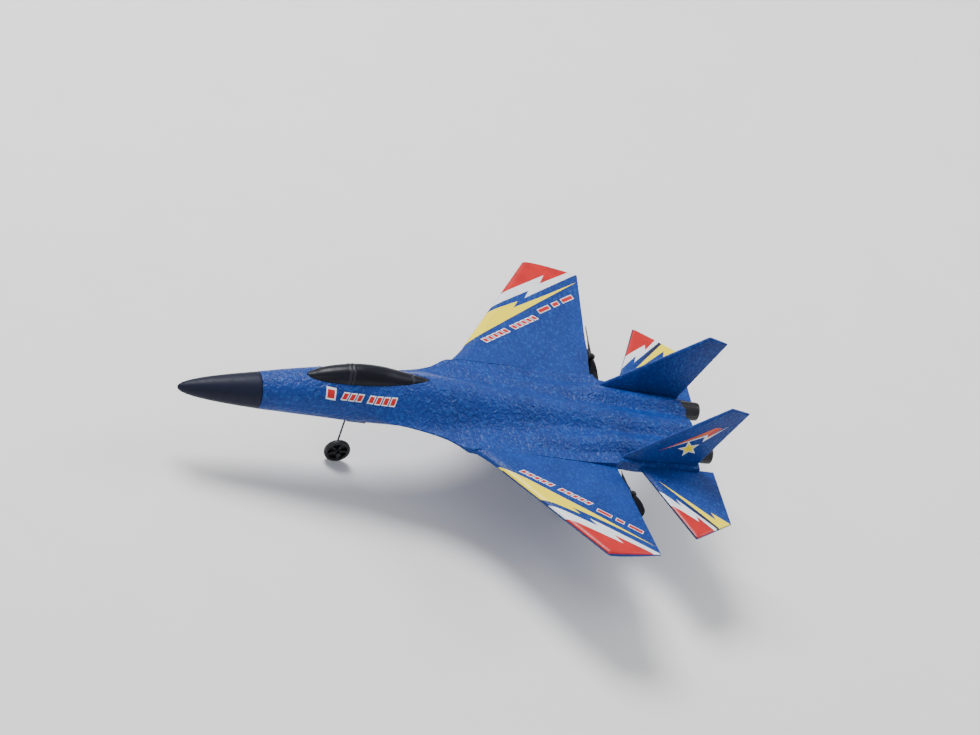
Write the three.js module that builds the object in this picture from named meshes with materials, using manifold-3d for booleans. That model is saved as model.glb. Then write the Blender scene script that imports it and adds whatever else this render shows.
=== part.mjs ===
// A two-channel radio-controlled foam jet: a moulded foam airframe in two halves with plug-in
// wings, tailplanes and fins, a plastic nose cone, canopy and exhausts, a pusher motor and
// propeller behind each wing, a belly bay with the battery and receiver, and a three-wheel
// wire undercarriage.
//
// Millimetres. +Z is up and z = 0 is the ground under the wheels. The nose points along -Y.
// +X is the pilot's left. Lengths along the body are "stations", counted aft from the nose tip,
// and heights are "waterlines", counted up from the nose tip.

import * as THREE from "three";
import { mergeVertices } from "three/addons/utils/BufferGeometryUtils.js";
import Module from "manifold-3d";

const wasm = await Module();
wasm.setup();

// ---------------------------------------------------------------- driving dimensions

const LENGTH = 360; // nose tip to fin tips
const NOSE_HEIGHT = 46; // nose tip above the ground
const GAP = 0.3; // clearance between pieces that are glued or clipped together
const FOAM_TILT = 0.11; // forward lean of the sections that meet the drooping nose cone

const NOSE = { length: 52, radius: 11.6, power: 0.47, droop: 5.5, wall: 1.2, plug: 8, plugRadius: 9 };
const WING = {
  rootX: 40, // where the wing meets the body
  rootLE: 187.5, rootTE: 286,
  bendX: 57, bendLE: 202.5, // the curved root of the leading edge ends here
  tipX: 131.6, tipLE: 255.1, tipRearX: 126.6, tipTE: 292.5,
  level: 12.5, dihedral: 0.12, // waterline at the root and the rise per unit of span
  tipBulge: 1, rootHalf: 3.1, tipHalf: 1.9, trailingShare: 0.45,
};
const STAB = {
  root: [[34, 303.2], [32, 356.3]], tip: [[94.6, 329.3], [77.5, 357.5]],
  level: 10.4, rootHalf: 1.8, tipHalf: 1.5, trailingShare: 0.55,
};
const FIN = {
  root: [[286, 13.2], [342.8, 13.2]], tip: [[346.8, 67.6], [360, 64.6]],
  x: 32.6, toe: -0.045, cant: 0.045, rootHalf: 1.7, tipHalf: 1.2, trailingShare: 0.6,
};
const TAIL_END = 345;
const EXHAUST = { x: 19.5, level: 14.5, radius: 5.9, rear: 355.2, front: 336, wall: 0.9, bulkhead: 343 };
const INTAKE = { x: 24.3, half: 7.2, floor: 1.6, roof: 8.4, front: 186, depth: 7 };
const CANOPY = { front: 79, rear: 159, wall: 1, sink: 1.3 };
const MOTOR = { x: 62, drop: 3, radius: 3.5, front: 270.5, rear: 286.5, shaft: 0.5, cap: 1.6, boss: 1.1 };
const SLEEVE = { front: 274, rear: 288.9, radius: 4.2, lip: 4.9, wall: 0.5 };
const PROP = { radius: 24, hub: 2.4, station: 291.6, restAngle: 0.2 }; // the outboard tips rest a little high
const BAY = { half: 11.5, front: 190, rear: 250, roof: 10.4, wall: 1.2, lip: 1.9, under: -6.4, lipHeight: 1 };
const DOOR = { half: 10, front: 201.4, rear: 248.4, pinX: -11.3, pinLevel: -7.4, pin: 0.5, knuckle: 1.1 };
const HINGE = { front: [206, 212], middle: [212.3, 237.7], rear: [238, 244] }; // knuckles along the pin
const SWITCH = { station: 195, travel: 2.5, knob: 1.6 };
const PACK = { half: 8.8, front: 210, rear: 246.5, floor: -4.6, roof: 2.4 };
const PCB = { half: 8.5, front: 194, rear: 226, level: 6.4, thick: 1 };
const WHEEL = { radius: 8.4, half: 2.1, tread: 1.5, hub: 2.2, bore: 0.7, rim: 6.3, spokes: 5, axleLevel: -37.6 };
const WIRE = 0.6; // radius of the undercarriage wire
const NOSE_GEAR = { station: 121.4, top: 118, half: 5, front: 115.6, rear: 128.6, under: -10.4 };
const MAIN_GEAR = { station: 282, wheelX: 23, half: 3.6, front: 275, rear: 288, depth: 3 };
const LEAD = { radius: 0.8, groove: 1.3 };
const AERIAL = { radius: 0.4, groove: 0.8, end: 330 };

const y = (station) => station - LENGTH / 2;
const z = (waterline) => waterline + NOSE_HEIGHT;

// ---------------------------------------------------------------- materials

const plain = (color, roughness, metalness = 0) =>
  new THREE.MeshStandardMaterial({ color, roughness, metalness });
const FOAM = plain(0x1b55b3, 0.6);
const BLACK = plain(0x17171c, 0.45);
const SMOKED = plain(0x15161d, 0.15);
const STEEL = plain(0xb9bcc0, 0.3, 1);
const BOARD = plain(0x1c6b3c, 0.5);
const FOIL = plain(0xaeb4bb, 0.4, 0.6);
const WHITE = plain(0xe9e7df, 0.4);
const RED = plain(0xb81d1d, 0.5);

// ---------------------------------------------------------------- small tools

// A smooth curve through (place, value) keys that never overshoots them.
function curve(keys) {
  const slope = keys.slice(1).map(([p, v], i) => (v - keys[i][1]) / (p - keys[i][0]));
  const tangent = keys.map((_, i) => {
    if (i === 0) return slope[0];
    if (i === keys.length - 1) return slope[i - 1];
    const [a, b] = [slope[i - 1], slope[i]];
    return a * b <= 0 ? 0 : (2 * a * b) / (a + b);
  });
  return (place) => {
    if (place <= keys[0][0]) return keys[0][1];
    if (place >= keys.at(-1)[0]) return keys.at(-1)[1];
    const i = keys.findIndex(([p]) => p > place) - 1;
    const [[p0, v0], [p1, v1]] = [keys[i], keys[i + 1]];
    const d = p1 - p0;
    const t = (place - p0) / d;
    const s = 1 - t;
    return v0 * (1 + 2 * t) * s * s + tangent[i] * d * t * s * s
      + v1 * t * t * (3 - 2 * t) - tangent[i + 1] * d * t * t * s;
  };
}

const mix = (a, b, t) => a + (b - a) * t;
const dome = (u, power) => (Math.abs(u) >= 1 ? 0 : (1 - u * u) ** power);

// A closed mesh from rings of points: neighbouring rings are joined and both ends are capped.
function skin(rings) {
  const n = rings[0].length;
  const points = rings.flat();
  const index = [];
  for (let r = 0; r < rings.length - 1; r++)
    for (let k = 0; k < n; k++) {
      const [a, b] = [r * n + k, r * n + ((k + 1) % n)];
      index.push(a, b, b + n, a, b + n, a + n);
    }
  for (let k = 1; k < n - 1; k++) {
    index.push(0, k + 1, k);
    const e = (rings.length - 1) * n;
    index.push(e, e + k, e + k + 1);
  }
  const made = new THREE.BufferGeometry();
  made.setAttribute("position", new THREE.Float32BufferAttribute(points.flat(), 3));
  made.setIndex(index);
  return made;
}

// Geometry to a manifold solid, whichever way its faces wind, and back.
function solid(geometry) {
  const bare = geometry.clone();
  for (const name of Object.keys(bare.attributes)) if (name !== "position") bare.deleteAttribute(name);
  const merged = mergeVertices(bare, 1e-4);
  const triVerts = [];
  const ids = merged.index.array;
  for (let i = 0; i < ids.length; i += 3) {
    const [a, b, c] = [ids[i], ids[i + 1], ids[i + 2]];
    if (a !== b && b !== c && a !== c) triVerts.push(a, b, c);
  }
  const build = (list) => new wasm.Manifold(new wasm.Mesh({
    numProp: 3, vertProperties: merged.attributes.position.array, triVerts: new Uint32Array(list),
  }));
  const made = build(triVerts);
  return made.volume() < 0 ? build(triVerts.reverse()) : made;
}

function geometryOf(body) {
  const mesh = body.getMesh();
  const position = new Float32Array(mesh.numVert * 3);
  for (let i = 0; i < mesh.numVert; i++)
    position.set(mesh.vertProperties.subarray(i * mesh.numProp, i * mesh.numProp + 3), i * 3);
  const made = new THREE.BufferGeometry();
  made.setAttribute("position", new THREE.BufferAttribute(position, 3));
  made.setIndex(new THREE.BufferAttribute(mesh.triVerts, 1));
  return made;
}

const cut = (body, ...tools) => tools.reduce((rest, tool) => rest.subtract(tool), body);
const join = (...bodies) => bodies.reduce((sum, body) => sum.add(body));
const mirrored = (body) => solid(geometryOf(body).applyMatrix4(new THREE.Matrix4().makeScale(-1, 1, 1)));

// A block between two corners given as (x, station, waterline).
function block([x0, s0, w0], [x1, s1, w1]) {
  const made = new THREE.BoxGeometry(x1 - x0, s1 - s0, w1 - w0);
  return solid(made.translate((x0 + x1) / 2, y((s0 + s1) / 2), z((w0 + w1) / 2)));
}

// A rod along Y between two stations, or along X between two x values.
function rodY(radius, x, waterline, s0, s1, sides = 16) {
  return solid(new THREE.CylinderGeometry(radius, radius, s1 - s0, sides)
    .translate(x, y((s0 + s1) / 2), z(waterline)));
}
function rodX(radius, x0, x1, station, waterline, sides = 16) {
  return solid(new THREE.CylinderGeometry(radius, radius, x1 - x0, sides)
    .rotateZ(Math.PI / 2).translate((x0 + x1) / 2, y(station), z(waterline)));
}
function rodZ(radius, x, station, w0, w1, sides = 16) {
  return solid(new THREE.CylinderGeometry(radius, radius, w1 - w0, sides)
    .rotateX(Math.PI / 2).translate(x, y(station), z((w0 + w1) / 2)));
}

// A round section swept along a smooth path of (x, station, waterline) points.
function wire(radius, points, steps, sides = 8) {
  const path = new THREE.CatmullRomCurve3(
    points.map(([px, s, w]) => new THREE.Vector3(px, y(s), z(w))), false, "catmullrom", 0.15);
  const section = new THREE.Shape();
  section.setFromPoints(Array.from({ length: sides }, (_, k) => {
    const a = (2 * Math.PI * k) / sides;
    return new THREE.Vector2(radius * Math.cos(a), radius * Math.sin(a));
  }));
  return solid(new THREE.ExtrudeGeometry(section, { steps, bevelEnabled: false, extrudePath: path }));
}

const root = new THREE.Group();

function add(name, made, material) {
  const mesh = new THREE.Mesh(geometryOf(made), material);
  mesh.name = name;
  root.add(mesh);
}
function addPair(name, made, material) {
  add(name + "_left", made, material);
  add(name + "_right", mirrored(made), material);
}

// ---------------------------------------------------------------- foam body

// Section data of the body, each a curve over the stations.
const body = {
  half: curve([[52, 11.7], [75, 14.1], [100, 16.4], [115, 17.5], [126, 20.6], [136, 24], [144, 25],
    [152, 26.4], [164, 29.4], [173.6, 33.2], [179, 36.8], [183, 39], [186.3, 40], [286, 40], [287.6, 37],
    [304, 36], [345, 34]]),
  level: curve([[52, 5.5], [75, 8.6], [100, 11.3], [120, 12.2], [150, 12.5], [286, 12.5], [303, 11.4],
    [345, 11.4]]),
  edge: curve([[52, 0.8], [120, 1], [145, 1.4], [180, 1.8], [192, 2.7], [198, 3.1], [232, 3.1],
    [262, 2.7], [275, 3.4], [287, 4.6], [300, 5], [335, 5], [345, 4.2]]),
  square: curve([[120, 0], [178, 0.05], [187, 1], [286, 1], [290, 0.55], [345, 0.5]]),
  crown: curve([[52, 17.2], [75, 22.8], [100, 27.6], [120, 29.8], [140, 31.3], [159, 31.4], [180, 30.2],
    [200, 28.6], [230, 26.3], [260, 24.4], [300, 22.4], [345, 21.4]]),
  crownHalf: curve([[115, 17.5], [136, 24], [150, 29], [170, 28.5], [190, 24], [230, 20.5], [300, 15.5],
    [345, 14.5]]),
  crownPower: curve([[108, 0.5], [120, 0.62], [130, 1], [140, 1.45], [155, 1.9], [165, 2]]),
  keel: curve([[52, -6.2], [75, -5.6], [100, -5.1], [130, -4.8], [140, -4.1], [150, -3.8], [165, -4.6],
    [178, -5.1], [252, -5.1], [268, -2.6], [300, 0.8], [345, 3]]),
  keelHalf: curve([[115, 17.5], [130, 16.8], [165, 17.5], [190, 18], [252, 17], [268, 14.5], [300, 12],
    [345, 11]]),
  keelPower: curve([[150, 0.5], [176, 0.38], [254, 0.38], [275, 0.8], [345, 1.2]]),
  wall: curve([[52, 11.7], [75, 14.1], [100, 16.4], [115, 17.4], [130, 16.9], [165, 17.6], [186.3, 18.2],
    [187.4, 34], [260, 32], [345, 28.5]]), // where the underside turns up to the edge
  podX: curve([[188, 24], [260, 22], [345, 19.5]]),
  podHalf: curve([[188, 10], [260, 10], [345, 9]]),
  podTop: curve([[205, 0], [230, 1.6], [260, 3.4], [300, 5], [345, 5]]),
  podBottom: curve([[187.4, 0], [188.8, 9.6], [230, 9.4], [280, 8], [330, 5.2], [350, 3.6]]),
};

// How much of the edge's half thickness is left at x: rounded where the edge is free, square at a joint.
const edgeShare = (u, square) => Math.sqrt(1 - (1 - square) * 0.9 * u ** 4);

function bodyTop(x, s) {
  const half = body.half(s);
  const edge = body.edge(s) * edgeShare(x / half, body.square(s));
  const level = body.level(s);
  const crownHalf = s < 115 ? half : Math.min(half, body.crownHalf(s));
  const crown = (body.crown(s) - level - body.edge(s)) * dome(x / crownHalf, body.crownPower(s));
  const pod = body.podTop(s) * dome((Math.abs(x) - body.podX(s)) / body.podHalf(s), 1.2);
  return level + edge + crown + pod;
}

function bodyBottom(x, s) {
  const half = body.half(s);
  const edge = body.edge(s) * edgeShare(x / half, body.square(s));
  const level = body.level(s);
  const keelHalf = s < 115 ? half : Math.min(half, body.keelHalf(s));
  const keel = (level - body.edge(s) - body.keel(s)) * dome(x / keelHalf, body.keelPower(s));
  const pod = body.podBottom(s) * dome((Math.abs(x) - body.podX(s)) / body.podHalf(s), 0.35);
  return level - edge - Math.max(keel, pod);
}

// One half of the body: the outer surface above or below the parting line, closed by the parting face.
// turn(s) is the x out to which most of the points of a section are spent.
function bodyHalf(outer, side, turn) {
  const stations = [52, 60, 70, 82, 94, 106, 116, 125, 133, 141, 150, 159, 167, 174, 180, 184, 186.3,
    187.4, 188.8, 196, 210, 230, 252, 262, 274, 286, 287.6, 296, 311, 328, TAIL_END];
  const across = 11;
  const inner = 9;
  const rings = stations.map((s) => {
    const lean = FOAM_TILT * Math.max(0, 1 - (s - 52) / 68);
    const part = body.level(s) + side * GAP / 2;
    const place = (x, w) => [x, y(s - (w - body.level(s)) * lean), z(w)];
    const xs = Array.from({ length: 2 * across + 1 }, (_, k) => {
      const step = Math.abs(k - across);
      const x = step <= inner
        ? turn(s) * Math.sin((Math.PI / 2) * (step / inner))
        : mix(turn(s), body.half(s), Math.sin((Math.PI / 2) * ((step - inner) / (across - inner))));
      return Math.sign(k - across) * x;
    });
    const shell = xs.map((x) => place(x, outer(x, s)));
    const face = [xs.at(-1), xs[across], xs[0]].map((x) => place(x, part));
    return [...shell, ...face];
  });
  return solid(skin(rings));
}

// The nose cone's axis falls towards the tip, so it is built along Y and then tipped.
const noseAxis = Math.hypot(NOSE.length, NOSE.droop);
function tipNose(geometry) {
  return solid(geometry.rotateX(Math.atan2(NOSE.droop, NOSE.length)).translate(0, y(0), z(0)));
}
function noseCone() {
  const along = noseAxis - GAP;
  const radiusAt = (t) => NOSE.radius * t ** NOSE.power;
  const shares = [0.012, 0.04, 0.09, 0.17, 0.28, 0.42, 0.58, 0.76, 1];
  const point = (radius, distance) => new THREE.Vector2(radius, distance);
  const bore = NOSE.plugRadius - NOSE.wall;
  const profile = [
    point(0, 0),
    ...shares.map((t) => point(radiusAt(t), t * along)),
    point(NOSE.plugRadius, along),
    point(NOSE.plugRadius, along + NOSE.plug),
    point(bore, along + NOSE.plug),
    point(bore, along * 0.76),
    ...shares.slice(2, -2).reverse().map((t) => point(Math.min(bore, radiusAt(t) - 1.6 * NOSE.wall), t * along)),
    point(0, along * 0.07),
  ];
  return tipNose(new THREE.LatheGeometry(profile, 26));
}
function noseSocket() {
  const length = NOSE.plug + 5;
  const radius = NOSE.plugRadius + GAP;
  return tipNose(new THREE.CylinderGeometry(radius, radius, length, 26)
    .translate(0, noseAxis + NOSE.plug + 1 - length / 2, 0));
}

// ---------------------------------------------------------------- canopy

const canopy = {
  half: curve([[79, 0.3], [80, 2], [83.4, 4.1], [89.5, 5.9], [98.7, 7.2], [108, 7.8], [119.6, 7.9], [130, 7.3],
    [141, 5.9], [150, 4.1], [156, 2.5], [158, 1.5], [159, 0.3]]),
  crown: curve([[79, 24.3], [83, 26.5], [87, 28.8], [95, 31.8], [105, 34.3], [116, 35.7], [126, 35.5],
    [138, 33.8], [150, 32.1], [159, 31.4]]),
};
const CANOPY_STATIONS = [79, 80.5, 83, 87, 92, 99, 107, 116, 125, 134, 142, 149, 155, 157.5, 159];

function canopyDome(grow, sink, from = CANOPY.front, to = CANOPY.rear) {
  const arc = 8;
  const rings = CANOPY_STATIONS.filter((s) => s >= from && s <= to).map((s) => {
    const half = Math.max(0.25, canopy.half(s) + grow);
    const foot = bodyTop(canopy.half(s), s) - sink;
    const top = Math.max(foot + 0.3, canopy.crown(s) + grow);
    const shift = s === CANOPY.front ? -Math.max(0, grow) : s === CANOPY.rear ? Math.max(0, grow) : 0;
    return Array.from({ length: arc + 1 }, (_, k) => {
      const a = Math.PI * (1 - k / arc);
      return [half * Math.cos(a), y(s + shift), z(mix(foot, top, Math.sin(a) ** 0.85))];
    });
  });
  return solid(skin(rings));
}

// ---------------------------------------------------------------- flying surfaces

// Half thickness along a chord: round at the front, full to mid chord, then tapering.
function chordShape(u, trailingShare) {
  if (u < 0.1) return Math.sqrt(Math.max(0.05, 1 - (1 - u / 0.1) ** 2));
  return u < 0.45 ? 1 : mix(1, trailingShare, (u - 0.45) / 0.55);
}
const CHORD = [0, 0.014, 0.05, 0.1, 0.45, 0.62, 0.8, 0.9, 1];

const wingLE = (x) => {
  const { rootX, rootLE, bendX, bendLE, tipX, tipLE } = WING;
  if (x >= bendX) return mix(bendLE, tipLE, (x - bendX) / (tipX - bendX));
  const [midX, midLE] = [47, 196]; // the curve's control point
  const a = rootX - 2 * midX + bendX;
  const b = 2 * (midX - rootX);
  const t = (-b + Math.sqrt(b * b - 4 * a * (rootX - x))) / (2 * a);
  return (1 - t) ** 2 * rootLE + 2 * t * (1 - t) * midLE + t * t * bendLE;
};

// A point in the flat frame of the left wing, x from the root and w from the chord plane, set at dihedral.
const slope = Math.atan(WING.dihedral);
const inWing = (x, s, w) => [
  WING.rootX + x * Math.cos(slope) - w * Math.sin(slope), s,
  WING.level + x * Math.sin(slope) + w * Math.cos(slope)];
const motorSpan = (MOTOR.x - WING.rootX + MOTOR.drop * Math.sin(-slope)) / Math.cos(slope);
const motorLevel = inWing(motorSpan, 0, -MOTOR.drop)[2];

function wingPanel() {
  const span = [0, 0.04, 0.09, 0.14, 0.19, 0.24, 0.29, 0.34, 0.55, 0.8, 0.97, 1];
  const rings = span.map((v) => {
    const front = [mix(WING.rootX, WING.tipX, v), 0];
    front[1] = wingLE(front[0]);
    const back = [mix(WING.rootX, WING.tipRearX, v), mix(WING.rootTE, WING.tipTE, v)];
    const half = mix(WING.rootHalf, WING.tipHalf, v) * (v === 1 ? 0.6 : 1);
    const side = (u, up) => {
      const x = mix(front[0], back[0], u) - WING.rootX + WING.tipBulge * v * v * dome(2 * u ** 0.6 - 1, 1);
      const s = mix(front[1], back[1], u);
      const pod = dome((x - motorSpan) / 9, 1) * dome((s - 284) / 22, 0.6);
      const w = up * (half * chordShape(u, WING.trailingShare) + pod * (up > 0 ? 1 : 7.5));
      const [px, ps, pw] = inWing(x + (v === 0 ? GAP + WING.dihedral * w : 0), s, w);
      return [px, y(ps), z(pw)];
    };
    return [...CHORD.map((u) => side(u, 1)), ...[...CHORD].reverse().map((u) => side(u, -1))];
  });
  return solid(skin(rings));
}

// A tapering plate between a root line and a tip line, both as [[a, b], [a, b]] front then back.
function plate({ root: r, tip, rootHalf, tipHalf, trailingShare }, place, grow = 0) {
  const span = [0, 0.5, 0.96, 1];
  const rings = span.map((v) => {
    const half = mix(rootHalf, tipHalf, v) * (v === 1 ? 0.6 : 1);
    const at = (u, up) => {
      const a = mix(mix(r[0][0], r[1][0], u), mix(tip[0][0], tip[1][0], u), v);
      const b = mix(mix(r[0][1], r[1][1], u), mix(tip[0][1], tip[1][1], u), v);
      return place(a, b, up * (half * chordShape(u, trailingShare) + grow));
    };
    return [...CHORD.map((u) => at(u, 1)), ...[...CHORD].reverse().map((u) => at(u, -1))];
  });
  return solid(skin(rings));
}
const stabPlace = (x, s, w) => [x, y(s), z(STAB.level + w)];
const finPlace = (s, w, x) =>
  [FIN.x + FIN.toe * (s - FIN.root[0][0]) + FIN.cant * (w - FIN.root[0][1]) + x, y(s), z(w)];

// The same plates, a little larger all round, which cut the slots that hold them.
const stabSlot = () => plate({ ...STAB,
  root: [[STAB.root[0][0] - GAP, STAB.root[0][1] - 2 * GAP], [STAB.root[1][0] - GAP, STAB.root[1][1] + 2]],
}, stabPlace, GAP);
const finSlot = () => plate({ ...FIN,
  root: [[FIN.root[0][0] - 2 * GAP, FIN.root[0][1] - GAP], [FIN.root[1][0] + 2 * GAP, FIN.root[1][1] - GAP]],
}, finPlace, GAP);

// ---------------------------------------------------------------- motor and propeller

function motorSleeve() {
  const { front, rear, radius, lip, wall } = SLEEVE;
  const barrel = rodY(radius, MOTOR.x, motorLevel, front, rear - wall, 22);
  const rim = rodY(lip, MOTOR.x, motorLevel, rear - 1, rear, 22);
  const bore = rodY(MOTOR.radius + GAP / 2, MOTOR.x, motorLevel, front - 1, rear - 1.4, 22);
  return cut(join(barrel, rim), bore, rodY(MOTOR.boss + GAP, MOTOR.x, motorLevel, front, rear + 1));
}
function motorCan() {
  const can = rodY(MOTOR.radius, MOTOR.x, motorLevel, MOTOR.front + MOTOR.cap, MOTOR.rear, 22);
  const boss = rodY(MOTOR.boss, MOTOR.x, motorLevel, MOTOR.rear - 1, SLEEVE.rear - 0.4);
  return cut(join(can, boss), rodY(MOTOR.shaft + GAP / 2, MOTOR.x, motorLevel, MOTOR.rear - 9, SLEEVE.rear));
}
function motorHole() {
  const motor = rodY(MOTOR.radius + GAP, MOTOR.x, motorLevel, MOTOR.front - 2.5, SLEEVE.front, 22);
  const sleeve = rodY(SLEEVE.radius + GAP, MOTOR.x, motorLevel, SLEEVE.front - GAP, SLEEVE.rear + 4, 22);
  const lip = rodY(SLEEVE.lip + GAP, MOTOR.x, motorLevel, SLEEVE.rear - 1 - GAP, SLEEVE.rear + 4, 22);
  return join(motor, sleeve, lip);
}

// A two-blade propeller: each blade is a twisted thin section, wide and square at the tip. Both sides carry
// the same propeller, so it is not mirrored.
function propeller(side) {
  const stations = [1.2, 4, 8, 13, 18, 22, PROP.radius];
  const chord = curve([[1.2, 3.2], [7, 5.6], [15, 7.2], [21, 6.8], [PROP.radius, 4.6]]);
  const pitch = curve([[1.2, 0.95], [7, 0.72], [15, 0.5], [PROP.radius, 0.4]]);
  const sides = 8;
  const rings = stations.map((r) => Array.from({ length: sides }, (_, k) => {
    const a = (2 * Math.PI * k) / sides;
    const across = (chord(r) / 2) * Math.cos(a);
    const thick = mix(0.65, 0.35, r / PROP.radius) * Math.sin(a);
    return [r, across * Math.sin(pitch(r)) + thick * Math.cos(pitch(r)),
      across * Math.cos(pitch(r)) - thick * Math.sin(pitch(r))];
  }));
  const blade = skin(rings);
  const hub = new THREE.LatheGeometry([[0, -2], [PROP.hub, -2], [PROP.hub, 1.2], [1.7, 2.6], [0, 3]]
    .map(([r, h]) => new THREE.Vector2(r, h)), 20);
  const bore = new THREE.CylinderGeometry(MOTOR.shaft + 0.1, MOTOR.shaft + 0.1, 3.4, 16).translate(0, -0.8, 0);
  const place = (geometry) => solid(geometry.rotateY(-side * PROP.restAngle)
    .translate(side * MOTOR.x, y(PROP.station), z(motorLevel)));
  const other = blade.clone().rotateY(Math.PI);
  return cut(join(place(hub), place(blade), place(other)), place(bore));
}
const motorShaft = () => rodY(MOTOR.shaft, MOTOR.x, motorLevel, MOTOR.rear - 8, PROP.station + 0.6, 12);

// ---------------------------------------------------------------- wiring

// Both motor leads and the aerial leave the bay through its rear wall, rise to the parting plane of the
// body and run along it in a groove.
const leadPath = [
  [6.8, 224, 8.1], [6.8, 247, 8.1], [8.4, 254, 9.6], [15, 259, 12.2], [24, 261, 12.5], [36, 263.4, 12.5],
  inWing(2, 264, 0), inWing(12, 265.5, -1), inWing(motorSpan - 3, 266.6, -MOTOR.drop),
  inWing(motorSpan, 268.6, -MOTOR.drop),
];
const aerialPath = [
  [-3.6, 225, 8.1], [-3.6, 247, 8.1], [-3, 254, 9.4], [0, 262, 12.2], [0, 270, 12.5], [0, 286, 12.5],
  [0, 303, 11.4], [0, AERIAL.end, 11.4],
];
const motorLead = () => wire(LEAD.radius, leadPath, 24, 6);
const leadGroove = () => wire(LEAD.groove, leadPath, 24, 6);
const aerial = () => wire(AERIAL.radius, aerialPath, 16, 6);
const aerialGroove = () => wire(AERIAL.groove, aerialPath, 16, 6);

// ---------------------------------------------------------------- belly bay

const screwSpots = [[-6.2, 197], [0, 222.5]];
const boardTop = PCB.level + PCB.thick / 2;

function tray() {
  const { half, front, rear, roof, wall, lip, under, lipHeight } = BAY;
  const rim = under + lipHeight;
  const tub = block([-half, front, rim - 0.2], [half, rear, roof]);
  const inside = block([wall - half, front + wall, under - 1], [half - wall, rear - wall, roof - wall]);
  const flange = block([-half - lip, front - lip, under], [half + lip, rear + lip, rim]);
  const opening = block([-DOOR.half - GAP, DOOR.front - GAP, under - 1],
    [DOOR.half + GAP, DOOR.rear + GAP, rim + 1]);
  const slot = block([-2.6, SWITCH.station - 0.8, under - 1], [2.6, SWITCH.station + 0.8, rim + 1]);
  const bosses = screwSpots.map(([x, s]) => rodZ(1.8, x, s, boardTop + 0.1, roof - wall + 0.2));
  const pilots = screwSpots.map(([x, s]) => rodZ(0.7, x, s, boardTop - 1, boardTop + 2.2, 12));
  const knuckles = [HINGE.front, HINGE.rear].map(([s0, s1]) => join(
    rodY(DOOR.knuckle, DOOR.pinX, DOOR.pinLevel, s0, s1),
    block([DOOR.pinX - 0.9, s0, DOOR.pinLevel], [DOOR.pinX + 0.9, s1, under + 0.2])));
  const relief = join(rodY(DOOR.knuckle + GAP, DOOR.pinX, DOOR.pinLevel, HINGE.front[1], HINGE.rear[0]),
    block([DOOR.pinX, HINGE.front[1], DOOR.pinLevel], [-DOOR.half, HINGE.rear[0], under + 0.4]));
  const shell = cut(join(cut(tub, inside), cut(flange, inside.intersect(opening), opening)), slot);
  return cut(join(shell, ...bosses, ...knuckles), ...pilots, relief,
    rodY(DOOR.pin + 0.15, DOOR.pinX, DOOR.pinLevel, HINGE.front[0] - 1, HINGE.rear[1] + 1, 12),
    leadGroove(), mirrored(leadGroove()), aerialGroove());
}

function door() {
  const panel = block([-DOOR.half, DOOR.front, BAY.under], [DOOR.half, DOOR.rear, BAY.under + BAY.lipHeight]);
  const [s0, s1] = HINGE.middle;
  const knuckle = rodY(DOOR.knuckle, DOOR.pinX, DOOR.pinLevel, s0, s1);
  const arm = block([DOOR.pinX, s0, DOOR.pinLevel - 0.3], [1.4 - DOOR.half, s1, BAY.under + 0.2]);
  const grip = block([7.6, s0 + 8, BAY.under - 0.8], [9, s1 - 8, BAY.under + 0.2]);
  const bore = rodY(DOOR.pin + 0.15, DOOR.pinX, DOOR.pinLevel, HINGE.front[0] - 1, HINGE.rear[1] + 1, 12);
  return cut(join(panel, knuckle, arm, grip), bore);
}

function board() {
  const { half, front, rear, level, thick } = PCB;
  const sheet = block([-half, front, level - thick / 2], [half, rear, level + thick / 2]);
  const under = level - thick / 2 + 0.05;
  const chips = [[-5.5, 205, 5, 5, 1], [-4, 215, 4, 4, 0.9], [3.5, 216, 3, 5, 1.1], [-6.6, 221, 2, 3.2, 1.4]]
    .map(([x, s, w, d, h]) => block([x - w / 2, s - d / 2, under - h], [x + w / 2, s + d / 2, under]));
  const crystal = block([-2, 199, boardTop - 0.05], [2, 207, boardTop + 1.2]);
  const socket = cut(block([2.2, 198.6, 2.6], [7.8, 204, under]), block([2.7, 200.3, 3.1], [7.3, 205, 5.5]));
  const holes = screwSpots.map(([x, s]) => rodZ(0.8, x, s, level - 1, level + 1, 12));
  return cut(join(sheet, ...chips, crystal, socket), ...holes);
}
const boardScrew = ([x, s]) => join(
  rodZ(1.5, x, s, boardTop - PCB.thick - 1.1, boardTop - PCB.thick - 0.1, 12),
  rodZ(0.55, x, s, boardTop - PCB.thick - 0.2, boardTop + 1.9, 12));

// The battery is a soft pouch with rounded long edges.
function battery() {
  const { half, front, rear, floor, roof } = PACK;
  const r = 1.6;
  const shape = new THREE.Shape();
  const corners = [[half - r, roof - r, 0], [r - half, roof - r, 1], [r - half, floor + r, 2], [half - r, floor + r, 3]];
  for (const [cx, cy, quarter] of corners)
    shape.absarc(cx, cy, r, (quarter * Math.PI) / 2, ((quarter + 1) * Math.PI) / 2, false);
  const pouch = new THREE.ExtrudeGeometry(shape, {
    depth: rear - front - 1.2, bevelEnabled: true, bevelThickness: 0.6, bevelSize: 0.6, bevelOffset: -0.6,
    bevelSegments: 1, curveSegments: 3,
  });
  return solid(pouch.rotateX(Math.PI / 2).translate(0, y(rear - 0.6), z(0)));
}
const batteryPlug = () => block([2.9, 201, 3.3], [7.1, 207, 5.3]);
const batteryLead = () => wire(0.6, [[5, 207.3, 4.3], [5, 208.3, 3.9], [5, 208.7, 2.2], [5, 208.8, 0.6],
  [5, 209.5, -0.2]], 10, 6);

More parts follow.
